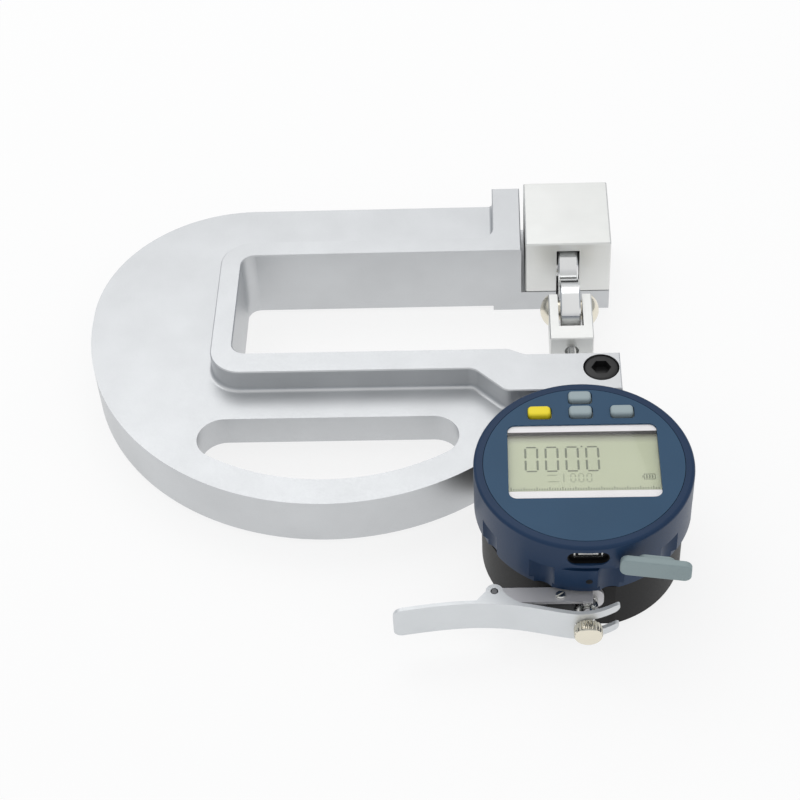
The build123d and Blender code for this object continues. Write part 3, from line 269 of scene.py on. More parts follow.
def clear_sheet(name, ior, roughness):
    """Thin clear sheet: it mirrors as much as its index says and lets the rest through."""
    material = empty_material(name)
    tree = material.node_tree
    mirror = add_node(tree, "ShaderNodeBsdfAnisotropic", {"Roughness": roughness})
    open_way = add_node(tree, "ShaderNodeBsdfTransparent")
    mirrored = add_node(tree, "ShaderNodeFresnel", {"IOR": ior})
    side = add_node(tree, "ShaderNodeNewGeometry")
    outside = add_node(
        tree,
        "ShaderNodeMath",
        {"operation": "SUBTRACT", 0: 1.0, "use_clamp": True},
        {1: side.outputs["Backfacing"]},
    )
    share = add_node(
        tree,
        "ShaderNodeMath",
        {"operation": "MULTIPLY"},
        {0: mirrored.outputs["Fac"], 1: outside.outputs["Value"]},
    )
    mixed = add_node(
        tree,
        "ShaderNodeMixShader",
        links={0: share.outputs["Value"], 1: open_way.outputs["BSDF"], 2: mirror.outputs["BSDF"]},
    )
    add_node(tree, "ShaderNodeOutputMaterial", links={"Surface": mixed.outputs["Shader"]})
    return material


def whiten(material, share):
    """Shows this share of the surface as plain white to the eye, also in mirrors and glass."""
    tree = material.node_tree
    output = next(node for node in tree.nodes if node.type == "OUTPUT_MATERIAL")
    paper = output.inputs["Surface"].links[0].from_socket
    rays = add_node(tree, "ShaderNodeLightPath")
    seen = rays.outputs["Is Camera Ray"]
    for ray in ("Is Glossy Ray", "Is Transmission Ray"):
        links = {0: seen, 1: rays.outputs[ray]}
        seen = add_node(tree, "ShaderNodeMath", {"operation": "MAXIMUM"}, links).outputs["Value"]
    part = add_node(tree, "ShaderNodeMath", {"operation": "MULTIPLY", 1: share}, {0: seen})
    glow = add_node(tree, "ShaderNodeEmission", {"Strength": 1.0})
    mixed = add_node(
        tree,
        "ShaderNodeMixShader",
        links={0: part.outputs["Value"], 1: paper, 2: glow.outputs["Emission"]},
    )
    tree.links.new(mixed.outputs["Shader"], output.inputs["Surface"])


def coat(material, *nodes):
    """Gives CAD nodes their finish."""
    for node in nodes:
        NODES[node].data.materials.clear()
        NODES[node].data.materials.append(material)


def piece(name, shape, material, body, slot, *nodes, sharp=32.0):
    """Makes a shape a piece that rides on a body and stands for CAD nodes.

    Edges that turn by more than sharp degrees stay sharp to the eye.
    """
    bmesh.ops.recalc_face_normals(shape, faces=shape.faces)
    for face in shape.faces:
        face.smooth = True
    for edge in shape.edges:
        edge.smooth = not edge.is_manifold or edge.calc_face_angle() < math.radians(sharp)
    mesh = bpy.data.meshes.new(name)
    shape.to_mesh(mesh)
    shape.free()
    mesh.materials.append(material)
    thing = bpy.data.objects.new(name, mesh)
    bpy.context.scene.collection.objects.link(thing)
    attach(thing, body)
    if nodes:
        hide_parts(*nodes)
    return thing


def turned(points, steps=64):
    """Closed shape turned round Z from (radius, height) points, in millimetres."""
    shape = bmesh.new()
    line = [shape.verts.new((radius * MM, 0, height * MM)) for radius, height in points]
    edges = [shape.edges.new(pair) for pair in zip(line, line[1:])]
    bmesh.ops.spin(
        shape,
        geom=line + edges,
        cent=(0, 0, 0),
        axis=(0, 0, 1),
        angle=math.tau,
        steps=steps,
        use_merge=True,
    )
    bmesh.ops.remove_doubles(shape, verts=shape.verts, dist=WELD)
    return shape


def place(shape, spot, facing=(0, 0, 1), turn=0.0):
    """Turns a shape about its own Z, points that at facing, and moves it to spot, in mm."""
    matrix = (
        Matrix.Translation(Vector(spot) * MM)
        @ Vector(facing).to_track_quat("Z", "Y").to_matrix().to_4x4()
        @ Matrix.Rotation(math.radians(turn), 4, "Z")
    )
    bmesh.ops.transform(shape, matrix=matrix, verts=shape.verts)
    return shape


def knurl(shape, count, depth, within, rim):
    """Presses straight ribs into the wall of a turned shape.

    within is the wall's lowest and highest place and rim its least radius, in metres.
    """
    for vert in shape.verts:
        radius = vert.co.xy.length
        if radius < rim or not within[0] <= vert.co.z <= within[1]:
            continue
        column = math.atan2(vert.co.y, vert.co.x) / math.tau * count * KNURL_STEPS
        if round(column) % KNURL_STEPS in (0, 1):
            vert.co.xy *= (radius - depth) / radius


def cut(shape, tool):
    """Takes one closed shape out of another."""
    things = []
    for part in (shape, tool):
        bmesh.ops.recalc_face_normals(part, faces=part.faces)
        mesh = bpy.data.meshes.new("cut")
        part.to_mesh(mesh)
        part.free()
        thing = bpy.data.objects.new("cut", mesh)
        bpy.context.scene.collection.objects.link(thing)
        things.append(thing)
    modifier = things[0].modifiers.new("cut", "BOOLEAN")
    modifier.operation = "DIFFERENCE"
    modifier.solver = "EXACT"
    modifier.object = things[1]
    graph = bpy.context.evaluated_depsgraph_get()
    left = bpy.data.meshes.new_from_object(things[0].evaluated_get(graph))
    result = bmesh.new()
    result.from_mesh(left)
    bpy.data.meshes.remove(left)
    for thing in things:
        mesh = thing.data
        bpy.data.objects.remove(thing)
        bpy.data.meshes.remove(mesh)
    return result


def join(shape, other):
    """Adds another shape to one, and frees it."""
    mesh = bpy.data.meshes.new("joined")
    other.to_mesh(mesh)
    other.free()
    shape.from_mesh(mesh)
    bpy.data.meshes.remove(mesh)


def soften(shape, edges, radius, segments):
    """Rounds these edges off, radius in millimetres."""
    bmesh.ops.bevel(
        shape,
        geom=edges,
        offset=radius * MM,
        segments=segments,
        profile=0.5,
        affect="EDGES",
        material=-1,
    )


def block(size, centre, turn=0.0):
    """Box with square edges, in millimetres."""
    shape = bmesh.new()
    bmesh.ops.create_cube(shape, size=1.0)
    bmesh.ops.scale(shape, vec=Vector(size) * MM, verts=shape.verts)
    return place(shape, centre, turn=turn)


def slab(low, high):
    """Box between two corners, in millimetres."""
    low, high = Vector(low), Vector(high)
    return block(high - low, (low + high) / 2)


def round_corners(shape, radius, sides=(-1, 1)):
    """Rounds the upright edges of a slab on its near side, -1, its far side, 1, or both."""
    middle = sum(vert.co.y for vert in shape.verts) / len(shape.verts)
    corners = [
        edge
        for edge in shape.edges
        if abs(edge.verts[0].co.z - edge.verts[1].co.z) > WELD
        and math.copysign(1, edge.verts[0].co.y - middle) in sides
    ]
    soften(shape, corners, radius, segments=8)
    return shape


def key_socket(across, depth, top):
    """Six-sided tool for a key's socket, in millimetres."""
    radius = across / math.sqrt(3) * MM
    shape = bmesh.new()
    bmesh.ops.create_cone(
        shape, cap_ends=True, segments=6, radius1=radius, radius2=radius, depth=depth * MM
    )
    return place(shape, (0, 0, top - depth / 2))


def cross_recess(shape, top, length, width, depth):
    """Cuts the crossing slots of a screw's recess, narrower at their floor."""
    floor_share = 0.6
    tool = block((width, width, 2 * depth), (0, 0, top))
    tool.normal_update()
    walls = [face for face in tool.faces if abs(face.normal.z) < 0.5]
    for wall in bmesh.ops.extrude_discrete_faces(tool, faces=walls)["faces"]:
        reach = wall.normal * (length - width) / 2 * MM
        bmesh.ops.translate(tool, vec=reach, verts=wall.verts)
    low = [vert for vert in tool.verts if vert.co.z < top * MM]
    bmesh.ops.scale(tool, vec=(floor_share, floor_share, 1), verts=low)
    return cut(shape, tool)


class GAUGE_OT_finish_frame(bpy.types.Operator):
    """Finish the frame, the anvil block and the fork"""

    bl_idname = "gauge.finish_frame"
    bl_label = "Frame, block and fork"

    def execute(self, context):
        colours = context.scene.gauge_colours
        # Bead-blasted and clear anodised aluminium: soft broad reflections, faint even grain.
        # The real grain is 0.1 mm wide and is drawn coarser so that it shows.
        blasted = finish(
            "blasted anodised aluminium",
            colours.frame_silver,
            metallic=1.0,
            roughness=0.42,
            grain=0.45,
            depth=0.006,
        )
        coat(blasted, "c_frame")
        # Milled steel under satin chrome: even satin gloss, fine lines along the block.
        milled = finish(
            "milled satin chrome steel",
            colours.block_satin,
            metallic=1.0,
            roughness=0.42,
            grain=0.3,
            depth=0.003,
            stretch=(12, 1, 1),
        )
        coat(milled, "anvil_block", "clevis")
        # Blackened steel: dark oil-soaked oxide that still shows a metal's gloss.
        blackened = finish(
            "black oxide steel",
            colours.black_oxide,
            metallic=0.35,
            roughness=0.36,
            grain=0.3,
            depth=0.004,
        )
        coat(blackened, "anvil_block_screws", "bracket_nut")
        return {"FINISHED"}


class GAUGE_OT_finish_moving_parts(bpy.types.Operator):
    """Finish the rollers, the spindle, the lever and the small metal parts"""

    bl_idname = "gauge.finish_moving_parts"
    bl_label = "Rollers, spindle and lever"

    def execute(self, context):
        colours = context.scene.gauge_colours
        # Ground and polished bearing steel: near mirror, with lines round the roller.
        ground = finish(
            "ground bearing steel",
            colours.bearing_steel,
            metallic=1.0,
            roughness=0.14,
            grain=0.25,
            depth=0.001,
            stretch=(1, 8, 8),
        )
        coat(ground, "anvil_outer_ring", "anvil_inner_ring", "anvil_balls", "anvil_axle")
        coat(ground, "roller_outer_ring", "roller_inner_ring", "roller_balls")
        coat(ground, "spindle", "stem", "guide_rod")
        # Bright nickel with a warm tone: the domes and the knob look faintly yellow.
        warm = finish(
            "warm bright nickel plating",
            colours.warm_nickel,
            metallic=1.0,
            roughness=0.22,
            grain=0.5,
            depth=0.002,
        )
        coat(warm, "roller_axle_barrel")
        # Bright nickel on small turned parts: clear highlights on their edges.
        cool = finish(
            "bright nickel plating",
            colours.cool_nickel,
            metallic=1.0,
            roughness=0.2,
            grain=0.4,
            depth=0.002,
        )
        coat(cool, "upper_bush", "swivel_ring", "swivel_ring_screws", "encoder_screws")
        coat(cool, "board_screws", "data_port", "battery", "battery_clip")
        # Pressed strip under satin chrome: soft bright sheen along its length.
        strip = finish(
            "satin chrome strip",
            colours.lever_satin,
            metallic=0.6,
            roughness=0.48,
            grain=0.35,
            depth=0.003,
            stretch=(10, 1, 1),
        )
        coat(strip, "lift_lever")
        # Plated sheet: the lever's sheen, a little tighter and with the sheet's rolling lines.
        sheet = finish(
            "satin plated sheet",
            colours.bracket_satin,
            metallic=0.6,
            roughness=0.45,
            grain=0.3,
            depth=0.003,
            stretch=(12, 1, 1),
        )
        coat(sheet, "lever_bracket")
        return {"FINISHED"}


class GAUGE_OT_finish_indicator(bpy.types.Operator):
    """Finish the indicator body and the display head"""

    bl_idname = "gauge.finish_indicator"
    bl_label = "Indicator and head"

    def execute(self, context):
        colours = context.scene.gauge_colours
        # Black moulded nylon: matt, with the fine spark-eroded grain of its mould.
        black = finish(
            "black moulded nylon",
            colours.black_body,
            metallic=0.0,
            roughness=0.5,
            grain=0.35,
            depth=0.01,
            IOR=1.53,
            **MATT,
        )
        coat(black, "indicator_case", "back_cover", "scale_carriage", "tact_switches")
        # Moulded ABS in slate blue: satin, with soft highlights on its rounded edges.
        blue = finish(
            "slate blue moulded ABS",
            colours.blue_housing,
            metallic=0.0,
            roughness=0.36,
            grain=0.5,
            depth=0.004,
            IOR=1.54,
            **MATT,
        )
        coat(blue, "display_case")
        # Printed plate of ABS: flatter and greyer than the housing round it.
        plate = finish(
            "grey blue printed ABS",
            colours.face_blue,
            metallic=0.0,
            roughness=0.42,
            grain=0.4,
            depth=0.003,
            IOR=1.54,
            **MATT,
        )
        coat(plate, "face_plate")
        # White moulded ABS behind the window: bright and even, with a slight gloss.
        white = finish(
            "white moulded ABS",
            colours.holder_white,
            metallic=0.0,
            roughness=0.5,
            grain=0.6,
            depth=0.003,
            IOR=1.54,
        )
        coat(white, "lcd_holder")
        # Display glass over a grey-green reflector: smooth, its green is seen through the glass.
        display = finish(
            "reflective display glass",
            colours.display_green,
            metallic=0.0,
            roughness=0.25,
            grain=2.0,
            depth=0.0,
            IOR=1.52,
        )
        self.shade_far_edge(display, colours.display_shade)
        coat(display, "lcd_panel", "scale_strip")
        # Moulded rubber: dull and soft, with hardly a highlight.
        rubber = finish(
            "grey moulded rubber",
            colours.cover_grey,
            metallic=0.0,
            roughness=0.55,
            grain=0.5,
            depth=0.006,
            IOR=1.5,
        )
        coat(rubber, "port_cover")
        # Epoxy board under its green mask: dark, with the gloss of a lacquer.
        board = finish(
            "green circuit board",
            colours.board_green,
            metallic=0.0,
            roughness=0.3,
            grain=1.0,
            depth=0.01,
            IOR=1.55,
        )
        coat(board, "display_board", "encoder_board")
        return {"FINISHED"}

    def shade_far_edge(self, material, shade):
        """Paints shade into the display along its far edge, beside the dark strip of painted shade
        under the far white bar.
        """
        start, full = -94.2, -90.2  # places on Y, in mm
        tree = material.node_tree
        spot = next(node for node in tree.nodes if node.type == "TEX_COORD")
        tone = next(node for node in tree.nodes if node.type == "VECT_MATH")
        surface = next(node for node in tree.nodes if node.type == "BSDF_PRINCIPLED")
        parts = add_node(
            tree, "ShaderNodeSeparateXYZ", links={"Vector": spot.outputs["Object"]}
        )
        share = add_node(
            tree,
            "ShaderNodeMapRange",
            {
                "interpolation_type": "SMOOTHSTEP",
                "From Min": start * MM,
                "From Max": full * MM,
                "To Min": 0.0,
                "To Max": 0.8,
            },
            {"Value": parts.outputs["Y"]},
        )
        shaded = add_node(
            tree,
            "ShaderNodeMix",
            {"data_type": "RGBA", 7: (*shade, 1)},
            {0: share.outputs["Result"], 6: tone.outputs["Vector"]},
        )
        tree.links.new(shaded.outputs[2], surface.inputs["Base Color"])


class GAUGE_OT_buttons(bpy.types.Operator):
    """Push buttons: caps with a rounded rim, and their lugs under the face plate"""

    bl_idname = "gauge.buttons"
    bl_label = "Push buttons"

    def execute(self, context):
        colours = context.scene.gauge_colours
        # Moulded silicone: even and satin, with a soft light along its rounded rim.
        silicone = {"metallic": 0.0, "roughness": 0.45, "grain": 0.5, "depth": 0.004, "IOR": 1.43}
        yellow = finish("yellow moulded silicone", colours.button_yellow, **silicone)
        grey = finish("grey moulded silicone", colours.button_grey, **silicone)
        column, row, far_row = 11.2, -83.9, -78.5  # places of the holes, in mm
        for name, material, slot, x, y in (
            ("power", yellow, "yellow_rubber", -column, row),
            ("unit", grey, "grey_rubber", 0.0, row),
            ("zero", grey, "grey_rubber", column, row),
            ("hold", grey, "grey_rubber", 0.0, far_row),
        ):
            cap = self.cap(context.scene.gauge_sizes, x, y)
            piece(name + "_cap", cap, material, name + "_key", slot, name + "_button", sharp=50)
        return {"FINISHED"}

    def cap(self, sizes, x, y):
        """Cap with its lugs, for the hole round x and y, in millimetres."""
        foot, top, corner = 34.8, 37.6, 1.15
        width, depth = sizes.cap_width / MM, sizes.cap_depth / MM
        middle_x, middle_y = x - 0.1, y + 0.33  # the cap is a little off the hole's middle
        shape = slab(
            (middle_x - width / 2, middle_y - depth / 2, foot),
            (middle_x + width / 2, middle_y + depth / 2, top),
        )
        round_corners(shape, corner)
        rim = [
            edge
            for edge in shape.edges
            if all(abs(vert.co.z - top * MM) < WELD for vert in edge.verts)
        ]
        soften(shape, rim, sizes.cap_rim / MM, segments=5)
        reach, half, low, high = 4.0, 1.4, 34.7, 35.2  # of the lugs, from the hole's middle
        join(shape, slab((x - reach, y - half, low), (x + reach, y + half, high)))
        return shape


class GAUGE_OT_port(bpy.types.Operator):
    """Lining of the port's slot, and the plug in the skirt under it"""

    bl_idname = "gauge.port"
    bl_label = "Port lining and plug"

    def execute(self, context):
        black = bpy.data.materials["black moulded nylon"]
        # Lining: a long round-ended cup whose floor stands round the socket's mouth.
        radius, straight, reach, wall = 2.44 * MM, 3.0 * MM, 1.5 * MM, 0.2 * MM
        well = bmesh.new()
        made = bmesh.ops.create_circle(well, cap_ends=True, segments=40, radius=radius)
        for vert in made["verts"]:
            vert.co.x += math.copysign(straight, vert.co.x)
        side = bmesh.ops.extrude_edge_only(well, edges=well.edges[:])
        rim = [part for part in side["geom"] if isinstance(part, bmesh.types.BMVert)]
        bmesh.ops.translate(well, vec=(0, 0, reach), verts=rim)
        bmesh.ops.recalc_face_normals(well, faces=well.faces)
        bmesh.ops.solidify(well, geom=well.faces[:], thickness=wall)
        place(well, (0, -129.2, 32.25), facing=NEAR)
        piece("port_well", well, black, "head", "black_body")

        plug = turned([(0, 0.15), (0.7, 0.13), (0.9, 0.05), (0.9, -0.4), (0, -0.4)], steps=32)
        place(plug, (0.4, -131.39, 23.0), facing=NEAR)
        piece("skirt_plug", plug, black, "head", "black_body")
        return {"FINISHED"}


class GAUGE_OT_window(bpy.types.Operator):
    """Pane flush in the face plate, with the white bars right under it and a dark strip of painted
    shade at the far bar's edge
    """

    bl_idname = "gauge.window"
    bl_label = "Window"

    def execute(self, context):
        colours = context.scene.gauge_colours
        white = bpy.data.materials["white moulded ABS"]
        side, far, near, corner = 20.05, -88.25, -114.15, 2.15  # the opening in the plate, in mm
        top, under, bar_top = 36.4, 36.12, 36.1
        far_edge, near_edge = -90.44, -111.5  # the bars' edges towards the display

        # Clear cast acrylic: faint mirror, no colour of its own.
        clear = clear_sheet("clear cast acrylic", ior=1.49, roughness=0.03)
        pane = round_corners(slab((-side, near, under), (side, far, top)), corner)
        piece("window_pane", pane, clear, "head", "window", "window_lens")

        bars = slab((-side, far_edge, GLASS_CLEAR), (side, far, bar_top))
        round_corners(bars, corner, sides=(1,))
        near_bar = slab((-side, near, GLASS_CLEAR), (side, near_edge, bar_top))
        join(bars, round_corners(near_bar, corner, sides=(-1,)))
        piece("window_bars", bars, white, "head", "white_plastic")

        # Painted shade: a dark grey, quite matt strip between the window and the display glass, put
        # at the far bar's edge where the bar's wall lies in shade.
        shade_finish = finish(
            "grey painted shade",
            colours.painted_shade_grey,
            metallic=0.0,
            roughness=0.8,
            grain=0.4,
            depth=0.02,
            IOR=1.45,
            **MATT,
        )
        shade_strip = slab((-20.0, -90.62, GLASS_CLEAR), (20.0, -90.46, 36.08))
        piece("window_painted_shade_strip", shade_strip, shade_finish, "head", "black_body")
        return {"FINISHED"}


class GAUGE_OT_screws(bpy.types.Operator):
    """Screws and pin whose heads show"""

    bl_idname = "gauge.screws"
    bl_label = "Screws and pin"

    def execute(self, context):
        finishes = bpy.data.materials
        self.clamp_screw(finishes["black oxide steel"])
        self.bracket_screw(finishes["bright nickel plating"])
        self.lever_pin(context.scene.gauge_colours.pin_grey)
        self.axle_screw(finishes["warm bright nickel plating"])
        self.cover_screws(finishes["black oxide steel"])
        return {"FINISHED"}

    def clamp_screw(self, material):
        """Cap screw of the stem's clamp: rounded head with a key socket."""
        top, seat, tip = 25.0, 19.0, 3.0  # levels, in mm
        spot = (7.4, -55.4, 0)
        screw = turned(
            [
                (0, top), (3.95, top), (4.45, 24.93), (4.76, 24.72), (4.94, 24.4), (5.0, 24.0),
                (5.0, seat), (3.0, seat), (3.0, tip), (0, tip),
            ]
        )
        place(screw, spot)
        key = place(key_socket(across=5.0, depth=2.4, top=top), spot, turn=30)
        screw = cut(screw, key)
        piece("clamp_cap_screw", screw, material, "root", "black_screw", "clamp_screw")

    def bracket_screw(self, material):
        """Pan head screw of the lever's bracket, with a slot."""
        top, tip = 0.6, -6.2
        screw = turned(
            [
                (0, top), (0.8, 0.59), (1.15, 0.51), (1.34, 0.33), (1.4, 0.1), (1.4, 0),
                (1.0, 0), (1.0, tip), (0, tip),
            ],
            steps=40,
        )
        screw = cut(screw, block((3.2, 0.42, 0.6), (0, 0, top), turn=35))
        place(screw, (-7.0, -131.1, 17.0))
        piece("bracket_slot_screw", screw, material, "root", "nickel", "bracket_screw")

    def lever_pin(self, colour):
        """Turned pin of the lever, flush with the ears, the edges of its ends broken."""
        # Plain turned steel: greyer than the plated parts and a little dull.
        steel = finish(
            "plain turned steel", colour, metallic=1.0, roughness=0.45, grain=0.3, depth=0.003
        )
        end, edge = 5.3, 5.02
        pin = turned(
            [(0, end), (0.72, end), (1.0, edge), (1.0, -edge), (0.72, -end), (0, -end)], steps=40
        )
        place(pin, (-24.3, -130.4, 13.0))
        piece("lever_turned_pin", pin, steel, "root", "nickel", "lever_pin")

    def axle_screw(self, material):
        """Domed screw of the roller's axle, with a cross recess."""
        ball, rim, top = 5.7, 4.65, 8.9  # radii of the dome and of its rim, and its top
        shank, seat, tip = 1.75, 6.5, -1.5
        steps = 8  # rings of faces on the dome
        dome = []
        for step in range(steps + 1):
            turn = math.asin(rim / ball) * step / steps
            dome.append((ball * math.sin(turn), top - ball + ball * math.cos(turn)))
        screw = turned(dome + [(shank, seat), (shank, tip), (0, tip)])
        screw = cross_recess(screw, top, length=4.6, width=0.9, depth=1.2)
        place(screw, (0, -19.2, SPINDLE_LEVEL), facing=(1, 0, 0), turn=20)
        piece(
            "axle_cross_screw", screw, material, "spindle_set", "warm_nickel", "roller_axle_screw"
        )

    def cover_screws(self, material):
        """Four small screws of the back cover, each turned as its thread left it."""
        top, tip, circle, seat = 0.8, -3.7, 23.2, 1.2
        screws = bmesh.new()
        for quarter in range(4):
            screw = turned(
                [
                    (0, top), (1.0, 0.78), (1.28, 0.62), (1.4, 0.35), (1.4, 0), (0.8, 0),
                    (0.8, tip), (0, tip),
                ],
                steps=32,
            )
            screw = cross_recess(screw, top, length=1.5, width=0.36, depth=0.45)
            way = math.radians(45 + 90 * quarter)
            spot = (circle * math.cos(way), circle * math.sin(way) + HEAD_MIDDLE, seat)
            place(screw, spot, facing=(0, 0, -1), turn=17 * quarter)
            join(screws, screw)
        piece("cover_cross_screws", screws, material, "root", "black_screw", "back_cover_screws")


class GAUGE_OT_knurled_parts(bpy.types.Operator):
    """Knob, collar and threaded stud on the spindle's line"""

    bl_idname = "gauge.knurled_parts"
    bl_label = "Knob, collar and stud"

    def execute(self, context):
        sizes = context.scene.gauge_sizes
        cool = bpy.data.materials["bright nickel plating"]
        self.knob(sizes, bpy.data.materials["warm bright nickel plating"])
        self.collar(sizes, cool)
        self.stud(sizes, cool)
        return {"FINISHED"}

    def knob(self, sizes, material):
        """Knob: straight ribs that run out in the rounded rim of a plain end."""
        knob = turned(
            [
                (0, 2.5), (1.3, 2.5), (1.3, 0), (3.3, 0), (3.72, 0.25), (3.79, 0.4), (3.79, 2.3),
                (3.74, 2.7), (3.55, 3.05), (3.25, 3.28), (2.9, 3.4), (0, 3.4),
            ],
            steps=KNURL_STEPS * sizes.knob_ribs,
        )
        knurl(knob, sizes.knob_ribs, sizes.knurl_depth, within=(0.2 * MM, 2.8 * MM), rim=3.6 * MM)
        place(knob, (0, -138.6, SPINDLE_LEVEL), facing=NEAR)
        piece("knurled_knob", knob, material, "spindle_set", "warm_nickel", "lift_knob", sharp=24)

    def collar(self, sizes, material):
        """Collar on the bush: two knurled bands with a plain groove between them."""
        collar = turned(
            [
                (2.55, 0.0), (2.8, 0.0), (3.0, 0.2), (3.0, 1.35), (2.75, 1.5), (2.75, 1.9),
                (3.0, 2.05), (3.0, 3.6), (2.75, 3.9), (2.55, 3.9), (2.55, 0.0),
            ],
            steps=KNURL_STEPS * sizes.collar_ribs,
        )
        depth = sizes.knurl_depth * 0.8
        knurl(collar, sizes.collar_ribs, depth, within=(0.15 * MM, 3.7 * MM), rim=2.95 * MM)
        place(collar, (0, -129.3, SPINDLE_LEVEL), facing=NEAR)
        piece("knurled_collar", collar, material, "root", "nickel", "bush_collar", sharp=24)

    def stud(self, sizes, material):
        """Stud with its thread: a plain core and one ridge wound round it."""
        length, threaded, crest = 20.5, 20.0, 1.25
        core = crest - sizes.thread_depth / MM
        foot = core - 0.05  # the ridge starts inside the core
        pitch = sizes.thread_pitch
        stud = turned([(0, length), (core, length), (core, 0), (0, 0)], steps=32)
        ridge = [
            stud.verts.new((foot * MM, 0, 0)),
            stud.verts.new((foot * MM, 0, pitch)),
            stud.verts.new((crest * MM, 0, pitch / 2)),
        ]
        start = stud.faces.new(ridge)
        turns, steps = int(threaded * MM / pitch), 28
        bmesh.ops.spin(
            stud,
            geom=[start, *start.edges, *ridge],
            cent=(0, 0, 0),
            axis=(0, 0, 1),
            dvec=(0, 0, pitch / steps),
            angle=math.tau * turns,
            steps=steps * turns,
            use_duplicate=False,
        )
        place(stud, (0, -32.2, SPINDLE_LEVEL), facing=NEAR)
        piece("threaded_stud", stud, material, "spindle_set", "nickel", "contact_stud", sharp=40)


class GAUGE_OT_return_spring(bpy.types.Operator):
    """Coil spring that pushes the spindle towards the anvil"""

    bl_idname = "gauge.return_spring"
    bl_label = "Return spring"

    def execute(self, context):
        far, near = -100.35, -120.95  # ends of the spring's line on Y, in mm
        radius, wire, steps = 1.6, 0.25, 24  # radii of the coil and its wire, in mm
        coils = context.scene.gauge_sizes.spring_coils
        coil = bmesh.new()
        upright = Matrix.Translation((radius * MM, 0, 0)) @ Matrix.Rotation(math.pi / 2, 4, "X")
        section = bmesh.ops.create_circle(
            coil, cap_ends=True, segments=10, radius=wire * MM, matrix=upright
        )["verts"]
        bmesh.ops.spin(
            coil,
            geom=[*section, *coil.edges, *coil.faces],
            cent=(0, 0, 0),
            axis=(0, 0, 1),
            dvec=(0, 0, (far - near) * MM / (coils * steps)),
            angle=math.tau * coils,
            steps=coils * steps,
            use_duplicate=False,
        )
        place(coil, (9.5, far, 11.5), facing=NEAR)
        steel = bpy.data.materials["bright nickel plating"]
        spring = piece("coil_spring", coil, steel, "root", "spring_steel", "return_spring")
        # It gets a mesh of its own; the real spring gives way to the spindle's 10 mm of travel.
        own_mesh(spring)
        return {"FINISHED"}


class GAUGE_OT_display(bpy.types.Operator):
    """Segments that show on the display"""

    bl_idname = "gauge.display"
    bl_label = "Display segments"

    def execute(self, context):
        sizes = context.scene.gauge_sizes
        colours = context.scene.gauge_colours
        # Segments that are switched on: smooth as the glass, dark or, where small, fainter.
        segment = {"metallic": 0.0, "roughness": 0.3, "grain": 0.5, "depth": 0.0, "IOR": 1.52}
        dark = finish("dark display segments", colours.segment_dark, **segment)
        faint = finish("faint display segments", colours.segment_faint, **segment)

        # Places on the glass are in mm from the head's middle.
        digits = bmesh.new()
        width, height = sizes.digit_width / MM, sizes.digit_height / MM
        stroke, pitch = sizes.digit_stroke / MM, sizes.digit_pitch / MM
        for digit in range(4):
            self.zero(digits, -13.8 + pitch * digit, 2.75, width, height, stroke)
        self.bar(digits, -0.25, 7.15, length=0.55, width=0.5)
        self.lay("display_digits", digits, dark, sizes)

        small = bmesh.new()
        for digit in range(3):
            self.zero(small, -2.95 + 2.14 * digit, -3.95, width=1.55, height=3.2, stroke=0.34)
        self.bar(small, -5.43, -3.9, length=2.9, width=0.32)
        for x, y, length in ((-8.5, -2.95, 2.6), (-8.5, -5.2, 2.2), (-7.0, -5.2, 0.5)):
            self.bar(small, x, y, length, width=0.3, turn=90)
        self.lay("display_small_digits", small, faint, sizes)

        # Battery mark: outline, three cells and its nub.
        marks = bmesh.new()
        left, middle, right, row = 15.75, 17.2, 18.65, -3.87
        for y in (-3.0, -4.75):
            self.bar(marks, middle, y, length=2.9, width=0.22, turn=90)
        for x in (left, right):
            self.bar(marks, x, row, length=1.75, width=0.22)
        for x in (16.45, middle, 17.95):
            self.bar(marks, x, row, length=1.15, width=0.42)
        self.bar(marks, 15.4, row, length=0.7, width=0.24)
        self.lay("display_battery_mark", marks, dark, sizes)

        # Row of ticks along the near edge, every fifth one longer.
        scale = bmesh.new()
        ticks, first, step, foot = 58, -19.4, 0.68, -8.3
        for tick in range(ticks):
            length = 1.25 if tick % 5 == 0 else 0.8
            self.bar(scale, first + step * tick, foot + length / 2, length, width=0.26)
        self.lay("display_scale", scale, dark, sizes)
        return {"FINISHED"}

    def bar(self, shape, x, y, length, width, turn=0):
        """Flat segment with pointed ends: a circle of six sides pulled long."""
        radius = width / math.sqrt(3)
        made = bmesh.ops.create_circle(shape, cap_ends=True, segments=6, radius=radius * MM)
        stretch = (length / 2 - radius) * MM
        for vert in made["verts"]:
            vert.co.y += math.copysign(stretch, vert.co.y)
        spot = Vector((x, y + HEAD_MIDDLE, GLASS_TOP)) * MM
        matrix = Matrix.Translation(spot) @ Matrix.Rotation(math.radians(turn), 4, "Z")
        bmesh.ops.transform(shape, matrix=matrix, verts=made["verts"])

    def zero(self, shape, x, y, width, height, stroke):
        """Six segments of a digit; the one across its middle stays off."""
        half_width, half_height = (width - stroke) / 2, (height - stroke) / 2
        gap = stroke * 0.62
        across, upright = width - stroke - gap, half_height - 2 * gap
        for side in (-1, 1):
            self.bar(shape, x, y + side * half_height, across, stroke * 0.8, turn=90)
            for end in (-1, 1):
                spot = (x + side * half_width, y + end * half_height / 2)
                self.bar(shape, *spot, upright, stroke)

    def lay(self, name, shape, material, sizes):
        """Gives the flat segments their height and lays them on the display glass."""
        bmesh.ops.solidify(shape, geom=shape.faces[:], thickness=-sizes.segment_height)
        piece(name, shape, material, "head", "lcd")


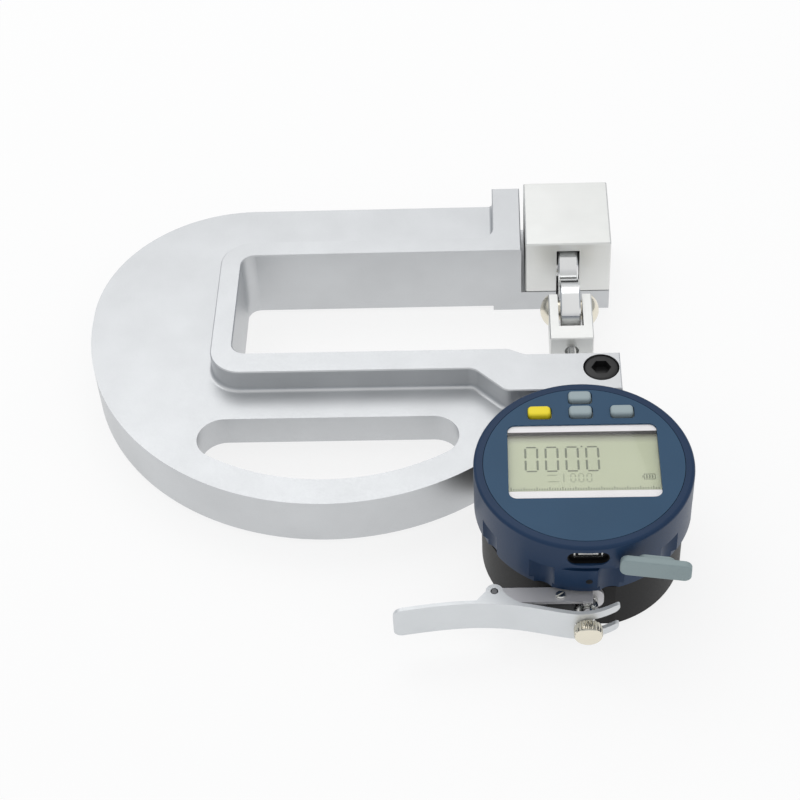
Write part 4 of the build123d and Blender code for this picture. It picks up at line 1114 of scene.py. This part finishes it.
class GAUGE_OT_stage(bpy.types.Operator):
    """Floor, light and camera"""

    bl_idname = "gauge.stage"
    bl_label = "Stage"

    def execute(self, context):
        scene = context.scene
        scene.view_settings.view_transform = "Standard"
        self.floor(scene)
        self.sky(scene)
        self.softbox(scene)
        self.camera(scene)
        return {"FINISHED"}

    def floor(self, scene):
        """Round white floor that keeps the soft shadow of the gauge."""
        settings = scene.gauge_stage
        shape = bmesh.new()
        bmesh.ops.create_circle(
            shape, cap_ends=True, segments=96, radius=settings.floor_radius
        )
        mesh = bpy.data.meshes.new("studio_floor")
        shape.to_mesh(mesh)
        shape.free()
        floor = bpy.data.objects.new("studio_floor", mesh)
        scene.collection.objects.link(floor)
        # Matt white paper: no gloss and one even tone.
        paper = finish(
            "matt white paper",
            linear("#FFFFFF"),
            metallic=0.0,
            roughness=0.9,
            grain=3.0,
            depth=0.0,
            cloud=0.0,
        )
        whiten(paper, settings.floor_white)
        mesh.materials.append(paper)

    def sky(self, scene):
        """Studio walls that are cool and dim low down and get white higher up."""
        settings = scene.gauge_stage
        world = bpy.data.worlds.new("studio")
        scene.world = world
        world.use_nodes = True
        tree = world.node_tree
        tree.nodes.clear()
        way = add_node(tree, "ShaderNodeTexCoord")
        parts = add_node(
            tree, "ShaderNodeSeparateXYZ", links={"Vector": way.outputs["Generated"]}
        )
        walls = add_node(tree, "ShaderNodeValToRGB", links={"Fac": parts.outputs["Z"]})
        ramp = walls.color_ramp
        ramp.interpolation = "EASE"
        low, high = ramp.elements
        low.position, low.color = 0.0, (*settings.walls_low, 1)
        high.position, high.color = 0.67, (*settings.walls_high, 1)
        background = add_node(
            tree, "ShaderNodeBackground", {"Strength": 1.0}, {"Color": walls.outputs["Color"]}
        )
        add_node(
            tree, "ShaderNodeOutputWorld", links={"Surface": background.outputs["Background"]}
        )

    def softbox(self, scene):
        """Soft lamp behind the gauge, on its left, aimed at its middle."""
        lamp = bpy.data.lights.new("softbox", "AREA")
        lamp.shape = "RECTANGLE"
        lamp.size, lamp.size_y = 0.9, 0.6
        lamp.energy = scene.gauge_stage.lamp_power
        box = bpy.data.objects.new("softbox", lamp)
        scene.collection.objects.link(box)
        box.location = (-0.3, 0.47, 0.9)
        box.rotation_mode = "QUATERNION"
        aim = Vector((-0.05, -0.06, 0.0)) - box.location
        box.rotation_quaternion = aim.to_track_quat("-Z", "Y")

    def camera(self, scene):
        """Camera at the photograph's place and angles."""
        spot = Vector((-24.38, -436.76, 415.57)) * MM
        yaw, pitch, roll = -0.069496, 0.811608, 0.0674979  # in radians
        lens = bpy.data.cameras.new("camera")
        lens.sensor_width = 36.0
        lens.lens = scene.gauge_stage.lens
        lens.clip_start, lens.clip_end = 0.05, 100.0
        camera = bpy.data.objects.new("camera", lens)
        scene.collection.objects.link(camera)
        ahead = Vector(
            (math.sin(yaw) * math.cos(pitch), math.cos(yaw) * math.cos(pitch), -math.sin(pitch))
        )
        right = Vector((math.cos(yaw), -math.sin(yaw), 0))
        down = ahead.cross(right)
        rolled_right = right * math.cos(roll) + down * math.sin(roll)
        rolled_down = down * math.cos(roll) - right * math.sin(roll)
        turn = Matrix((rolled_right, -rolled_down, -ahead)).transposed()
        camera.matrix_world = Matrix.Translation(spot) @ turn.to_4x4()
        scene.camera = camera


class GAUGE_PT_panel(bpy.types.Panel):
    """Lists the gauge's pieces"""

    bl_label = "Thickness gauge"
    bl_idname = "GAUGE_PT_panel"
    bl_space_type = "VIEW_3D"
    bl_region_type = "UI"
    bl_category = "Gauge"

    def draw(self, context):
        for operator in OPERATORS:
            self.layout.operator(operator.bl_idname)
        scene = context.scene
        for group in (scene.gauge_colours, scene.gauge_sizes, scene.gauge_stage):
            for name in group.__annotations__:
                self.layout.prop(group, name)


# In the order in which they run: the finishes come before the pieces that wear them.
OPERATORS = (
    GAUGE_OT_finish_frame,
    GAUGE_OT_finish_moving_parts,
    GAUGE_OT_finish_indicator,
    GAUGE_OT_buttons,
    GAUGE_OT_port,
    GAUGE_OT_window,
    GAUGE_OT_screws,
    GAUGE_OT_knurled_parts,
    GAUGE_OT_return_spring,
    GAUGE_OT_display,
    GAUGE_OT_stage,
)
CLASSES = (GaugeColours, GaugeSizes, StageSettings, *OPERATORS, GAUGE_PT_panel)


def register():
    for entry in CLASSES:
        bpy.utils.register_class(entry)
    bpy.types.Scene.gauge_colours = PointerProperty(type=GaugeColours)
    bpy.types.Scene.gauge_sizes = PointerProperty(type=GaugeSizes)
    bpy.types.Scene.gauge_stage = PointerProperty(type=StageSettings)


def unregister():
    del bpy.types.Scene.gauge_stage
    del bpy.types.Scene.gauge_sizes
    del bpy.types.Scene.gauge_colours
    for entry in reversed(CLASSES):
        bpy.utils.unregister_class(entry)


def main():
    register()
    for operator in OPERATORS:
        group, name = operator.bl_idname.split(".")
        getattr(getattr(bpy.ops, group), name)()


if __name__ == "__main__":
    main()
